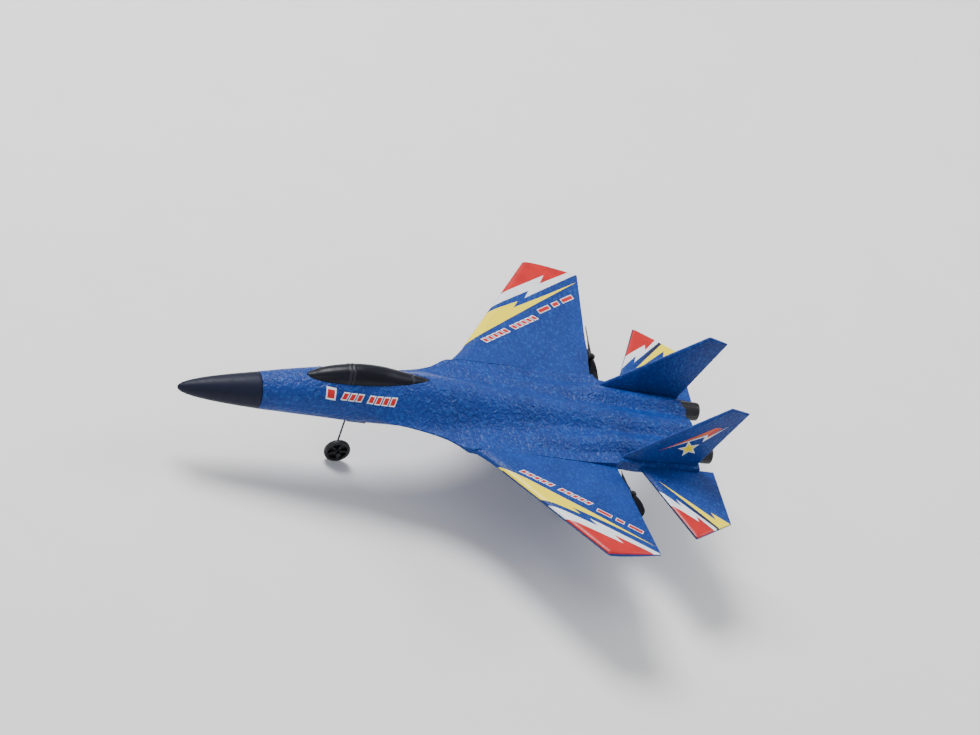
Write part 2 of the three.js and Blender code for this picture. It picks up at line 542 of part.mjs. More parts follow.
const slot = (grow) => [2.6 + grow, 0.5 + GAP];
function switchBody() {
  const [halfX, halfS] = slot(0.3);
  const can = block([-4.3, SWITCH.station - 1.9, -5.1], [4.3, SWITCH.station + 1.9, -1.6]);
  return cut(can, block([-halfX, SWITCH.station - halfS, -6], [halfX, SWITCH.station + halfS, -3.1]));
}
function switchKnob() {
  const rest = -SWITCH.travel / 2;
  return block([rest - SWITCH.knob / 2, SWITCH.station - 0.5, -7.4], [rest + SWITCH.knob / 2, SWITCH.station + 0.5, -3.4]);
}

// ---------------------------------------------------------------- undercarriage

function wheel(x, station) {
  const { radius, half, tread, hub, bore, rim, spokes } = WHEEL;
  const tyre = new THREE.LatheGeometry([
    [rim, -tread], [radius - 0.7, -tread], [radius, 0.6 - tread], [radius, tread - 0.6], [radius - 0.7, tread],
    [rim, tread], [rim, -tread]].map(([r, h]) => new THREE.Vector2(r, h)), 22);
  const boss = new THREE.CylinderGeometry(hub, hub, 2 * half + 0.2, 16);
  const arms = Array.from({ length: spokes }, (_, k) =>
    solid(new THREE.BoxGeometry(1.5, 1.8, rim + 0.3 - hub + 0.4).translate(0, 0, (rim + 0.3 + hub - 0.4) / 2)
      .rotateY((2 * Math.PI * k) / spokes + 0.3)));
  const hole = new THREE.CylinderGeometry(bore, bore, 3 * half, 16);
  const made = cut(join(solid(tyre), solid(boss), ...arms), solid(hole));
  return solid(geometryOf(made).rotateZ(Math.PI / 2).translate(x, y(station), z(WHEEL.axleLevel)));
}

// A leg: one wire from the base down beside the wheel and then sideways through it as the axle.
const legPath = (wheelX, station, top, foot) => {
  const x = wheelX - WHEEL.half - 1.5;
  const low = WHEEL.axleLevel;
  return [[x, top, foot], [x, mix(top, station, 0.1), foot - 3], [x, mix(top, station, 0.9), low + 3],
    [x + 0.15, station, low + 0.8], [x + 0.8, station, low], [x + 2, station, low],
    [wheelX + WHEEL.half + 1.7, station, low]];
};
const collar = (wheelX, station) => cut(
  rodX(1.5, wheelX + WHEEL.half + 0.4, wheelX + WHEEL.half + 2.4, station, WHEEL.axleLevel, 20),
  rodX(WIRE + 0.12, wheelX, wheelX + WHEEL.half + 1.9, station, WHEEL.axleLevel, 12));

const noseLeg = (radius) => wire(radius, legPath(0, NOSE_GEAR.station, NOSE_GEAR.top, -5), 24, 6);
function noseGearBase() {
  const { half, front, rear, under } = NOSE_GEAR;
  const mount = block([-half, front, under + 3], [half, rear, -3]);
  const clamp = block([-half, front, under], [0, rear, under + 3.2]);
  return cut(join(mount, clamp), noseLeg(WIRE + 0.12));
}
const noseGearSocket = () => block([-NOSE_GEAR.half - GAP, NOSE_GEAR.front - GAP, -12],
  [NOSE_GEAR.half + GAP, NOSE_GEAR.rear + GAP, -3 + GAP]);

const mainLeg = (radius) => wire(radius,
  legPath(MAIN_GEAR.wheelX, MAIN_GEAR.station, MAIN_GEAR.station - 2, 1), 24, 6);
const mainBaseX = MAIN_GEAR.wheelX - WHEEL.half - 1.5;
function mainGearBase() {
  const { half, front, rear, depth } = MAIN_GEAR;
  return cut(block([mainBaseX - half, front, -depth], [mainBaseX + half, rear, depth + 1]), mainLeg(WIRE + 0.12));
}
const mainGearSocket = () => block([mainBaseX - MAIN_GEAR.half - GAP, MAIN_GEAR.front - GAP, -8],
  [mainBaseX + MAIN_GEAR.half + GAP, MAIN_GEAR.rear + GAP, MAIN_GEAR.depth + 1 + GAP]);

// ---------------------------------------------------------------- exhausts and intakes

function exhaust() {
  const { x, level, radius, rear, front, wall, bulkhead } = EXHAUST;
  const outside = [[radius, front], [radius, rear - 2], [radius - 0.25, rear]];
  const inside = [[radius - 0.25 - wall, rear], [radius - wall, rear - 2], [radius - wall, bulkhead]];
  const profile = [[0, front], ...outside, ...inside, [2, bulkhead], [0, bulkhead + 5]]
    .map(([r, s]) => new THREE.Vector2(r, y(s)));
  return solid(new THREE.LatheGeometry(profile, 24).translate(x, 0, z(level)));
}
const exhaustSocket = () => rodY(EXHAUST.radius + GAP, EXHAUST.x, EXHAUST.level, EXHAUST.front - GAP, TAIL_END + 2, 24);
const intake = () => block([INTAKE.x - INTAKE.half, INTAKE.front, INTAKE.floor],
  [INTAKE.x + INTAKE.half, 189 + INTAKE.depth, INTAKE.roof]);

// ---------------------------------------------------------------- assembly

const both = (made) => [made, mirrored(made)];
const shared = [
  noseSocket(), aerialGroove(), ...both(leadGroove()), ...both(exhaustSocket()), ...both(stabSlot()),
  ...both(finSlot()),
];
const bay = block([-BAY.half - GAP, BAY.front - GAP, -9], [BAY.half + GAP, BAY.rear + GAP, BAY.roof + GAP]);

add("fuselage_top", cut(bodyHalf(bodyTop, 1, (s) => 0.88 * body.half(s)), ...shared, canopyDome(GAP, CANOPY.sink + GAP)), FOAM);
add("fuselage_bottom", cut(bodyHalf(bodyBottom, -1, (s) => Math.min(0.97 * body.half(s), body.wall(s))), ...shared, bay, noseGearSocket(),
  ...both(mainGearSocket()), ...both(intake())), FOAM);
addPair("wing", cut(wingPanel(), motorHole(), leadGroove()), FOAM);
addPair("stabilizer", plate(STAB, stabPlace), FOAM);
addPair("fin", plate(FIN, finPlace), FOAM);
add("nose_cone", noseCone(), BLACK);
add("canopy", cut(canopyDome(0, CANOPY.sink), canopyDome(-CANOPY.wall, CANOPY.sink + 1, 83, 155)), SMOKED);
addPair("exhaust", exhaust(), BLACK);

addPair("motor_sleeve", motorSleeve(), BLACK);
addPair("motor", motorCan(), FOIL);
addPair("motor_cap", rodY(MOTOR.radius, MOTOR.x, motorLevel, MOTOR.front, MOTOR.front + MOTOR.cap - GAP, 22), WHITE);
addPair("motor_shaft", motorShaft(), STEEL);
add("propeller_left", propeller(1), BLACK);
add("propeller_right", propeller(-1), BLACK);
addPair("motor_lead", motorLead(), RED);

add("battery_tray", tray(), BLACK);
add("battery_hatch", door(), BLACK);
add("hatch_pin", rodY(DOOR.pin, DOOR.pinX, DOOR.pinLevel, HINGE.front[0] + 0.2, HINGE.rear[1] - 0.2, 12), STEEL);
add("battery_pack", battery(), FOIL);
add("battery_plug", batteryPlug(), WHITE);
add("battery_lead", batteryLead(), RED);
add("receiver_board", board(), BOARD);
screwSpots.forEach((spot, i) => add("board_screw_" + (i + 1), boardScrew(spot), STEEL));
add("aerial_wire", aerial(), BLACK);
add("switch_body", switchBody(), FOIL);
add("switch_slider", switchKnob(), BLACK);

add("nose_gear_base", noseGearBase(), BLACK);
add("nose_gear_leg", noseLeg(WIRE), STEEL);
add("nose_wheel", wheel(0, NOSE_GEAR.station), BLACK);
add("nose_wheel_collar", collar(0, NOSE_GEAR.station), BLACK);
addPair("main_gear_base", mainGearBase(), BLACK);
addPair("main_gear_leg", mainLeg(WIRE), STEEL);
addPair("main_wheel", wheel(MAIN_GEAR.wheelX, MAIN_GEAR.station), BLACK);
addPair("main_wheel_collar", collar(MAIN_GEAR.wheelX, MAIN_GEAR.station), BLACK);

export default root;
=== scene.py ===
"""Looks for a two-channel radio-controlled foam jet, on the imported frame.

Shapes are given in millimetres as (x, station, waterline): x to the pilot's left, stations counted aft
from the nose tip and waterlines counted up from it. place() turns them into the row frame, in metres.
"""

import math

import bmesh
import bpy
import numpy as np
from mathutils import Matrix, Vector, noise


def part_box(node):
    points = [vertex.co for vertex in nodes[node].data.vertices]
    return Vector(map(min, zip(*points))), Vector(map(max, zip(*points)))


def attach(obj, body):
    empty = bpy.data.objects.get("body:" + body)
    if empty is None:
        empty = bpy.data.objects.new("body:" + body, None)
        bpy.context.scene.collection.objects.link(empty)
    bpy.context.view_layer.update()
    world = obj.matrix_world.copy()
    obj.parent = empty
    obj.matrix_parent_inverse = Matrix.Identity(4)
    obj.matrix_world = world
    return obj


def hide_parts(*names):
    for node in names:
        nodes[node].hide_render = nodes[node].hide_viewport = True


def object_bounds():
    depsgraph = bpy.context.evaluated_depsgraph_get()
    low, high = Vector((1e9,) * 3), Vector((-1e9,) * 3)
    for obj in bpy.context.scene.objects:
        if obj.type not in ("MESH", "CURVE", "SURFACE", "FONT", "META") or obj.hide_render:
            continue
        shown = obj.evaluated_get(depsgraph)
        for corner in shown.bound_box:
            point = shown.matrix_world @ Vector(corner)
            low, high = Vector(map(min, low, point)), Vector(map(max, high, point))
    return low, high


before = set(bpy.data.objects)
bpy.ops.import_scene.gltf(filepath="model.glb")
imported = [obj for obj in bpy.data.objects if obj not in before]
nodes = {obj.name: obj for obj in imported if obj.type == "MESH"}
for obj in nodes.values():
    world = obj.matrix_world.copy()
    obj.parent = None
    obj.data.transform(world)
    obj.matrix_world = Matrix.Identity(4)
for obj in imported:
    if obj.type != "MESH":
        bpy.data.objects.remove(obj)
cad_low, cad_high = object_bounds()
scene = bpy.context.scene

# ---------------------------------------------------------------- driving dimensions

GAP = 0.3
SEAM = 0.03  # half of the hairline left where the two body halves are glued
FOAM_TILT = 0.11
NOSE = dict(length=52, radius=11.6, power=0.47, droop=5.5)
WING = dict(rootX=40, rootLE=187.5, rootTE=286, bendX=57, bendLE=202.5, tipX=131.6, tipLE=255.1,
            tipRearX=126.6, tipTE=292.5, level=12.5, dihedral=0.12, bulge=1.0, rootHalf=3.1, tipHalf=1.9,
            trail=0.45)
STAB = dict(root=[[34, 303.2], [32, 356.3]], tip=[[94.6, 329.3], [77.5, 357.5]], level=10.4,
            rootHalf=1.8, tipHalf=1.5, trail=0.55)
FIN = dict(root=[[286, 13.2], [342.8, 13.2]], tip=[[346.8, 67.6], [360, 64.6]], x=32.6, toe=-0.045,
           cant=0.045, rootHalf=1.7, tipHalf=1.2, trail=0.6)
TAIL_END = 345
EXHAUST = dict(x=19.5, level=14.5, radius=5.9, rear=355.2, front=336, wall=0.9, bulkhead=343)
MOTOR = dict(x=62, drop=3, radius=3.5, front=270.5, rear=286.5)
SLEEVE = dict(front=274, rear=288.9, radius=4.2, lip=4.9)
PROP = dict(radius=24, hub=2.4, station=291.6, rest=0.2)
BAY = dict(half=11.5, front=190, rear=250, roof=10.4)
NOSE_GEAR = dict(station=121.4, top=118, half=5, front=115.6, rear=128.6)
MAIN_GEAR = dict(station=282, wheelX=23, half=3.6, front=275, rear=288, depth=3)
WHEEL = dict(radius=8.4, half=2.1, tread=1.5, hub=2.2, rim=6.3, spokes=5, level=-37.6)
WIRE = 0.6
BODY_RELIEF, WING_RELIEF, TAIL_RELIEF = (0.1, 2.9), (0.05, 2.0), (0.04, 2.0)  # depth and bead size
FRONT_ARCHES, REAR_ARCH = (104.6, 107.0), 147.6
INTAKE = dict(inner=17.1, outer=31.5, front=186, rear=196, low=1.6, high=8.4)

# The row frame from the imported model: the nose tip is its foremost point, and the exhausts give a height.
exhaust_low, exhaust_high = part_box("exhaust_left")
FRONT = cad_low.y
GROUND = (exhaust_low.z + exhaust_high.z) / 2 - EXHAUST["level"] / 1000


def place(points):
    """(x, station, waterline) in millimetres to the row frame."""
    p = np.asarray(points, float) / 1000
    return p + np.array([0.0, FRONT, GROUND])


# ---------------------------------------------------------------- curves

def curve(keys):
    """A smooth curve through (place, value) keys that never overshoots them."""
    p, v = np.array(keys, float).T
    slope = np.diff(v) / np.diff(p)
    inner = [0.0 if a * b <= 0 else 2 * a * b / (a + b) for a, b in zip(slope, slope[1:])]
    tangent = np.array([slope[0], *inner, slope[-1]])

    def at(where):
        q = np.clip(where, p[0], p[-1])
        i = np.clip(np.searchsorted(p, q, side="right") - 1, 0, len(p) - 2)
        d = p[i + 1] - p[i]
        t = (q - p[i]) / d
        u = 1 - t
        return (v[i] * (1 + 2 * t) * u * u + tangent[i] * d * t * u * u
                + v[i + 1] * t * t * (3 - 2 * t) - tangent[i + 1] * d * t * t * u)
    return at


def dome(u, power):
    return np.clip(1 - np.square(u), 0, None) ** power * (np.abs(u) < 1)


def mix(a, b, t):
    return a + (b - a) * t


half_at = curve([[52, 11.7], [75, 14.1], [100, 16.4], [115, 17.5], [126, 20.6], [136, 24], [144, 25],
                 [152, 26.4], [164, 29.4], [173.6, 33.2], [179, 36.8], [183, 39], [186.3, 40], [286, 40],
                 [287.6, 37], [304, 36], [345, 34]])
level_at = curve([[52, 5.5], [75, 8.6], [100, 11.3], [120, 12.2], [150, 12.5], [286, 12.5], [303, 11.4],
                  [345, 11.4]])
edge_at = curve([[52, 0.8], [120, 1], [145, 1.4], [180, 1.8], [192, 2.7], [198, 3.1], [232, 3.1],
                 [262, 2.7], [275, 3.4], [287, 4.6], [300, 5], [335, 5], [345, 4.2]])
square_at = curve([[120, 0], [178, 0.05], [187, 1], [286, 1], [290, 0.55], [345, 0.5]])
crown_at = curve([[52, 17.2], [75, 22.8], [100, 27.6], [120, 29.8], [140, 31.3], [159, 31.4], [180, 30.2],
                  [200, 28.6], [230, 26.3], [260, 24.4], [300, 22.4], [345, 21.4]])
crown_half_at = curve([[115, 17.5], [136, 24], [150, 29], [170, 28.5], [190, 24], [230, 20.5],
                       [300, 15.5], [345, 14.5]])
crown_power_at = curve([[108, 0.5], [120, 0.62], [130, 1], [140, 1.45], [155, 1.9], [165, 2]])
keel_at = curve([[52, -6.2], [75, -5.6], [100, -5.1], [130, -4.8], [140, -4.1], [150, -3.8], [165, -4.6],
                 [178, -5.1], [252, -5.1], [268, -2.6], [300, 0.8], [345, 3]])
keel_half_at = curve([[115, 17.5], [130, 16.8], [165, 17.5], [190, 18], [252, 17], [268, 14.5], [300, 12],
                      [345, 11]])
keel_power_at = curve([[150, 0.5], [176, 0.38], [254, 0.38], [275, 0.8], [345, 1.2]])
wall_at = curve([[52, 11.7], [75, 14.1], [100, 16.4], [115, 17.4], [130, 16.9], [165, 17.6], [186.3, 18.2],
                 [187.4, 34], [260, 32], [345, 28.5]])
pod_x_at = curve([[188, 24], [260, 22], [345, 19.5]])
pod_half_at = curve([[188, 10], [260, 10], [345, 9]])
pod_top_at = curve([[205, 0], [230, 1.6], [260, 3.4], [300, 5], [345, 5]])
pod_bottom_at = curve([[187.4, 0], [188.8, 9.6], [230, 9.4], [280, 8], [330, 5.2], [350, 3.6]])


def edge_share(x, s):
    return np.sqrt(1 - (1 - square_at(s)) * 0.9 * np.clip(np.abs(x) / half_at(s), 0, 1) ** 4)


def body_top(x, s):
    half = half_at(s)
    crown_half = np.where(s < 115, half, np.minimum(half, crown_half_at(s)))
    crown = (crown_at(s) - level_at(s) - edge_at(s)) * dome(x / crown_half, crown_power_at(s))
    pod = pod_top_at(s) * dome((np.abs(x) - pod_x_at(s)) / pod_half_at(s), 1.2)
    return level_at(s) + edge_at(s) * edge_share(x, s) + crown + pod


def body_bottom(x, s):
    half = half_at(s)
    keel_half = np.where(s < 115, half, np.minimum(half, keel_half_at(s)))
    keel = (level_at(s) - edge_at(s) - keel_at(s)) * dome(x / keel_half, keel_power_at(s))
    pod = pod_bottom_at(s) * dome((np.abs(x) - pod_x_at(s)) / pod_half_at(s), 0.35)
    return level_at(s) - edge_at(s) * edge_share(x, s) - np.maximum(keel, pod)


# ---------------------------------------------------------------- meshes

def link(name, mesh):
    made = bpy.data.objects.new(name, mesh)
    scene.collection.objects.link(made)
    return made


def build(name, points, faces, sharp=35):
    """A mesh object from points in millimetres, with doubled points merged and normals outwards."""
    mesh = bpy.data.meshes.new(name)
    mesh.from_pydata(place(points).tolist(), [], faces)
    bm = bmesh.new()
    bm.from_mesh(mesh)
    bmesh.ops.remove_doubles(bm, verts=bm.verts, dist=2e-6)
    bmesh.ops.recalc_face_normals(bm, faces=bm.faces)
    bm.to_mesh(mesh)
    bm.free()
    smooth(mesh, sharp)
    return link(name, mesh)


def smooth(mesh, sharp):
    mesh.shade_smooth()
    mesh.set_sharp_from_angle(angle=math.radians(sharp))


def skin_faces(rows, count, caps=True, loop=False, base=0):
    """Faces between neighbouring rings of count points each."""
    grid = np.arange(rows * count).reshape(rows, count) + base
    if loop:
        grid = np.vstack([grid, grid[:1]])
    turned = np.roll(grid, -1, 1)
    faces = np.stack([grid[:-1], turned[:-1], turned[1:], grid[1:]], -1).reshape(-1, 4).tolist()
    if caps and not loop:
        faces += [grid[0, ::-1].tolist(), grid[-1].tolist()]
    return faces


def skin(name, rings, sharp=35, loop=False):
    rings = np.asarray(rings, float)
    return build(name, rings.reshape(-1, 3), skin_faces(*rings.shape[:2], loop=loop), sharp)


def skins(name, parts, sharp=35):
    """One object from several closed skins; each part is (rings, loop)."""
    points, faces, base = [], [], 0
    for rings, loop in parts:
        rings = np.asarray(rings, float)
        points.append(rings.reshape(-1, 3))
        faces += skin_faces(*rings.shape[:2], loop=loop, base=base)
        base += rings.shape[0] * rings.shape[1]
    return build(name, np.vstack(points), faces, sharp)


def carve(body, *cutters, sharp=35):
    for cutter in cutters:
        cut = body.modifiers.new("cut", "BOOLEAN")
        cut.operation, cut.solver, cut.object = "DIFFERENCE", "MANIFOLD", cutter
    graph = bpy.context.evaluated_depsgraph_get()
    made = bpy.data.meshes.new_from_object(body.evaluated_get(graph), depsgraph=graph)
    made.materials.clear()
    body.modifiers.clear()
    body.data = made
    smooth(made, sharp)
    for cutter in cutters:
        bpy.data.objects.remove(cutter)
    return body


def lathe_rings(profile, sides, at=(0, 0, 0), axis="s", bend=None):
    """Rings of a turned shape: profile is (radius, distance) along the axis from at."""
    angle = np.linspace(0, 2 * math.pi, sides, endpoint=False)
    rings = []
    for radius, along in profile:
        r = radius if bend is None else radius + bend(angle, along)
        a, b, c = r * np.cos(angle), np.full(sides, float(along)), r * np.sin(angle)
        ring = {"s": (a, b, c), "x": (b, a, c)}[axis]
        rings.append(np.stack(ring, -1) + np.array(at, float))
    return np.array(rings)


def rounded_block(name, low, high, radius=0.6, steps=4):
    """A block along the stations whose long edges are rounded."""
    (x0, s0, w0), (x1, s1, w1) = low, high
    ring = []
    for cx, cw, quarter in ((x1, w1, 0), (x0, w1, 1), (x0, w0, 2), (x1, w0, 3)):
        sx, sw = (1 if cx == x1 else -1), (1 if cw == w1 else -1)
        for k in range(steps + 1):
            a = math.pi / 2 * (quarter + k / steps)
            ring.append((cx - sx * radius + radius * math.cos(a), cw - sw * radius + radius * math.sin(a)))
    rings = [[(x, s, w) for x, w in ring] for s in (s0, s1)]
    return skin(name, rings)


def cylinder(name, radius, x, w, s0, s1, sides=64):
    return skin(name, lathe_rings([(radius, s0), (radius, s1)], sides, (x, 0, w)))


def tube_rings(path, radius, sides=14):
    """A round section carried along a path without twisting."""
    path = np.asarray(path, float)
    along = np.gradient(path, axis=0)
    along /= np.linalg.norm(along, axis=1)[:, None]
    side = np.cross(along[0], [0.3, 0.2, 1.0])
    side /= np.linalg.norm(side)
    angle = np.linspace(0, 2 * math.pi, sides, endpoint=False)[:, None]
    rings = []
    for p, t in zip(path, along):
        side = side - t * side.dot(t)
        side /= np.linalg.norm(side)
        up = np.cross(t, side)
        rings.append(p + radius * (np.cos(angle) * side + np.sin(angle) * up))
    return rings


def spline(points, tension=0.15, steps=16):
    """A smooth path through the points."""
    p = np.asarray(points, float)
    p = np.vstack([2 * p[0] - p[1], p, 2 * p[-1] - p[-2]])
    path = []
    for a, b, c, d in zip(p, p[1:], p[2:], p[3:]):
        t = np.linspace(0, 1, steps, endpoint=False)[:, None]
        m0, m1 = tension * (c - a), tension * (d - b)
        path.append((2 * t**3 - 3 * t**2 + 1) * b + (t**3 - 2 * t**2 + t) * m0
                    + (3 * t**2 - 2 * t**3) * c + (t**3 - t**2) * m1)
    return np.vstack([*path, p[-2][None]])


def mirror(points):
    flipped = np.array(points, float)
    flipped[..., 0] *= -1
    return flipped


def sided(points, side):
    return np.array(points, float) if side > 0 else mirror(points)


def pebble(body, depth, size, keep=None):
    """Presses the moulded beads' outline into a foam skin: every point goes in, none goes out."""
    mesh = body.data
    count = len(mesh.vertices)
    co = np.empty(count * 3)
    mesh.vertices.foreach_get("co", co)
    co = co.reshape(-1, 3)
    normal = np.empty(count * 3)
    mesh.vertex_normals.foreach_get("vector", normal)
    normal = normal.reshape(-1, 3)
    beads = np.array([noise.voronoi(Vector(p))[0][0] for p in co / (size / 1000)])
    swell = np.array([noise.noise(Vector(p)) for p in co / 0.019])
    press = depth / 1000 * (np.clip(beads, 0, 1) ** 2 + 0.9 * (swell + 1) / 2)
    if keep is not None:
        press[keep(co)] = 0
    mesh.vertices.foreach_set("co", (co - normal * press[:, None]).ravel())
    mesh.update()


# ---------------------------------------------------------------- materials

def srgb(r, g, b):
    """A linear colour from 0 to 255 display values."""
    c = np.array([r, g, b]) / 255
    c = np.where(c <= 0.04045, c / 12.92, ((c + 0.055) / 1.055) ** 2.4)
    return (*c.tolist(), 1.0)


class Paint:
    """A node material under construction: one shader, fed by patterns in object space."""

    def __init__(self, name, rough, metallic=0.0, coat=0.0, specular=0.5):
        self.mat = bpy.data.materials.new(name)
        self.mat.use_nodes = True
        self.tree = self.mat.node_tree
        self.shader = self.tree.nodes["Principled BSDF"]
        self.shader.inputs["Roughness"].default_value = rough
        self.shader.inputs["Metallic"].default_value = metallic
        self.shader.inputs["Coat Weight"].default_value = coat
        self.shader.inputs["Coat Roughness"].default_value = 0.1
        self.shader.inputs["Specular IOR Level"].default_value = specular
        self.where = self.tree.nodes.new("ShaderNodeTexCoord").outputs["Object"]
        self.height = None

    def node(self, kind, **inputs):
        made = self.tree.nodes.new(kind)
        for name, value in inputs.items():
            socket = made.inputs[name.replace("_", " ")]
            if isinstance(value, bpy.types.NodeSocket):
                self.tree.links.new(value, socket)
            else:
                socket.default_value = value
        return made

    def noise(self, size, detail=3.0, rough=0.55, where=None):
        return self.node("ShaderNodeTexNoise", Vector=where or self.where, Scale=1000 / size, Detail=detail,
                         Roughness=rough).outputs["Fac"]

    def stretched(self, x, y, z):
        return self.node("ShaderNodeMapping", Vector=self.where, Scale=(x, y, z)).outputs["Vector"]

    def cells(self, size, feature="F1", where=None, random=1.0):
        made = self.node("ShaderNodeTexVoronoi", Vector=where or self.where, Scale=1000 / size,
                         Randomness=random)
        made.feature = feature
        return made.outputs["Distance"]

    def ranged(self, value, low, high, to_low, to_high):
        return self.node("ShaderNodeMapRange", Value=value, From_Min=low, From_Max=high, To_Min=to_low,
                         To_Max=to_high).outputs["Result"]

    def math(self, kind, a, b):
        made = self.tree.nodes.new("ShaderNodeMath")
        made.operation = kind
        for socket, value in zip(made.inputs, (a, b)):
            if isinstance(value, bpy.types.NodeSocket):
                self.tree.links.new(value, socket)
            else:
                socket.default_value = value
        return made.outputs["Value"]

    def blend(self, share, a, b):
        made = self.tree.nodes.new("ShaderNodeMix")
        made.data_type = "RGBA"
        for socket, value in ((made.inputs[0], share), (made.inputs[6], a), (made.inputs[7], b)):
            if isinstance(value, bpy.types.NodeSocket):
                self.tree.links.new(value, socket)
            else:
                socket.default_value = value
        return made.outputs[2]

    def colour(self, socket):
        self.tree.links.new(socket, self.shader.inputs["Base Color"])

    def roughness(self, socket):
        self.tree.links.new(socket, self.shader.inputs["Roughness"])

    def bump(self, height, depth, strength=1.0):
        """Adds a relief of depth millimetres; several of them stack."""
        made = self.node("ShaderNodeBump", Height=height, Strength=strength, Distance=depth / 1000)
        if self.height is not None:
            self.tree.links.new(self.height, made.inputs["Normal"])
        self.height = made.outputs["Normal"]
        self.tree.links.new(self.height, self.shader.inputs["Normal"])


def foam(name, main, deep, highlight, bead, depth, fine):
    """Moulded bead foam: rounded, uneven beads, with a painted highlight on their tops and painted shade in
    the creases between them.
    """
    p = Paint(name, 0.5, specular=0.32)
    warp = p.node("ShaderNodeTexNoise", Vector=p.where, Scale=1000 / (2.2 * bead), Detail=2.0)
    shifted = p.node("ShaderNodeVectorMath")
    shifted.operation = "MULTIPLY_ADD"
    p.tree.links.new(warp.outputs["Color"], shifted.inputs[0])
    shifted.inputs[1].default_value = (bead / 900,) * 3
    p.tree.links.new(p.where, shifted.inputs[2])
    where = shifted.outputs[0]
    crease = p.cells(bead, "DISTANCE_TO_EDGE", where)
    bead_dome = p.ranged(crease, 0.0, 0.5, 0.0, 1.0)
    leather = p.noise(bead, 1.5, 0.5, where)
    grain = p.cells(fine, "SMOOTH_F1")
    cloud = p.noise(26, 3.0)
    tint = p.blend(p.ranged(cloud, 0.3, 0.7, 0.0, 0.8), main, deep)
    # Painted highlight: the tops of the beads are lightened towards the palest blue.
    tint = p.blend(p.ranged(leather, 0.5, 0.72, 0.0, 0.55), tint, highlight)
    # Painted shade: the creases between the beads are darkened towards the deepest blue.
    p.colour(p.blend(p.ranged(crease, 0.0, 0.16, 0.45, 0.0), tint, deep))
    p.roughness(p.ranged(p.noise(1.7, 2.0), 0.3, 0.7, 0.4, 0.54))
    p.bump(grain, -0.3 * depth)
    p.bump(bead_dome, 0.55 * depth)
    p.bump(leather, 1.7 * depth)
    p.bump(p.noise(0.45, 2.0), 0.05 * depth)
    return p.mat


def moulded(name, main, other, rough, grain=0.55, depth=0.012, specular=0.5, metallic=0.0, size=9):
    """Moulded plastic, paint or printed film: slow tone changes, mottled gloss and a fine grain."""
    p = Paint(name, rough[0], metallic, specular=specular)
    p.colour(p.blend(p.ranged(p.noise(size, 4.0), 0.3, 0.72, 0.0, 1.0), main, other))
    p.roughness(p.ranged(p.noise(size / 3, 3.0), 0.3, 0.7, *rough))
    p.bump(p.cells(grain, "SMOOTH_F1"), depth)
    p.bump(p.noise(4 * grain, 2.0), 0.6 * depth)
    return p.mat


def brushed(name, main, other, rough, stretch):
    """Drawn or brushed metal: streaks along one direction."""
    p = Paint(name, rough[0], 1.0)
    streak = p.noise(0.5, 3.0, where=p.stretched(*stretch))
    p.colour(p.blend(p.ranged(streak, 0.3, 0.7, 0.0, 1.0), main, other))
    p.roughness(p.ranged(p.noise(1.5, 3.0), 0.3, 0.7, *rough))
    p.bump(streak, 0.008)
    return p.mat


# The palest blue is a painted highlight on the bead tops; the deepest blue gives slow tone changes and
# painted shade in the creases between beads.
BLUE, SHADE_AND_TONE_BLUE, HIGHLIGHT_BLUE = srgb(0, 56, 142), srgb(0, 38, 110), srgb(24, 94, 176)
foam_body = foam("foam_body", BLUE, SHADE_AND_TONE_BLUE, HIGHLIGHT_BLUE, 2.6, 0.62, 1.2)
foam_panel = foam("foam_panel", BLUE, SHADE_AND_TONE_BLUE, HIGHLIGHT_BLUE, 1.8, 0.2, 0.9)
nose_black = moulded("nose_plastic", srgb(14, 18, 38), srgb(19, 24, 48), (0.46, 0.58), 0.7, 0.03,
                     specular=0.22)
satin_black = moulded("black_plastic", srgb(20, 20, 26), srgb(30, 30, 36), (0.34, 0.5), 0.6, 0.02)
soft_black = moulded("wheel_plastic", srgb(17, 17, 20), srgb(27, 27, 30), (0.45, 0.62), 0.5, 0.03)
prop_black = moulded("prop_plastic", srgb(10, 10, 14), srgb(17, 17, 22), (0.4, 0.55), 0.9, 0.008,
                     specular=0.3)
tray_black = moulded("tray_plastic", srgb(18, 18, 21), srgb(27, 27, 31), (0.42, 0.58), 0.45, 0.03)
glass_dark = moulded("canopy_glass", srgb(5, 7, 18), srgb(9, 12, 28), (0.34, 0.42), 3.0, 0.012,
                     specular=0.25)
frame_dark = moulded("canopy_frame", srgb(16, 18, 30), srgb(24, 26, 40), (0.42, 0.52), 0.6, 0.015,
                     specular=0.35)


def vinyl(name, main, other):
    """Printed film: satin, with a fine grain."""
    return moulded(name, main, other, (0.3, 0.42), 1.4, 0.03)


vinyl_red = vinyl("decal_red", srgb(200, 20, 22), srgb(178, 14, 18))
vinyl_white = vinyl("decal_white", srgb(238, 240, 244), srgb(222, 226, 234))
vinyl_yellow = vinyl("decal_yellow", srgb(255, 234, 0), srgb(255, 226, 0))
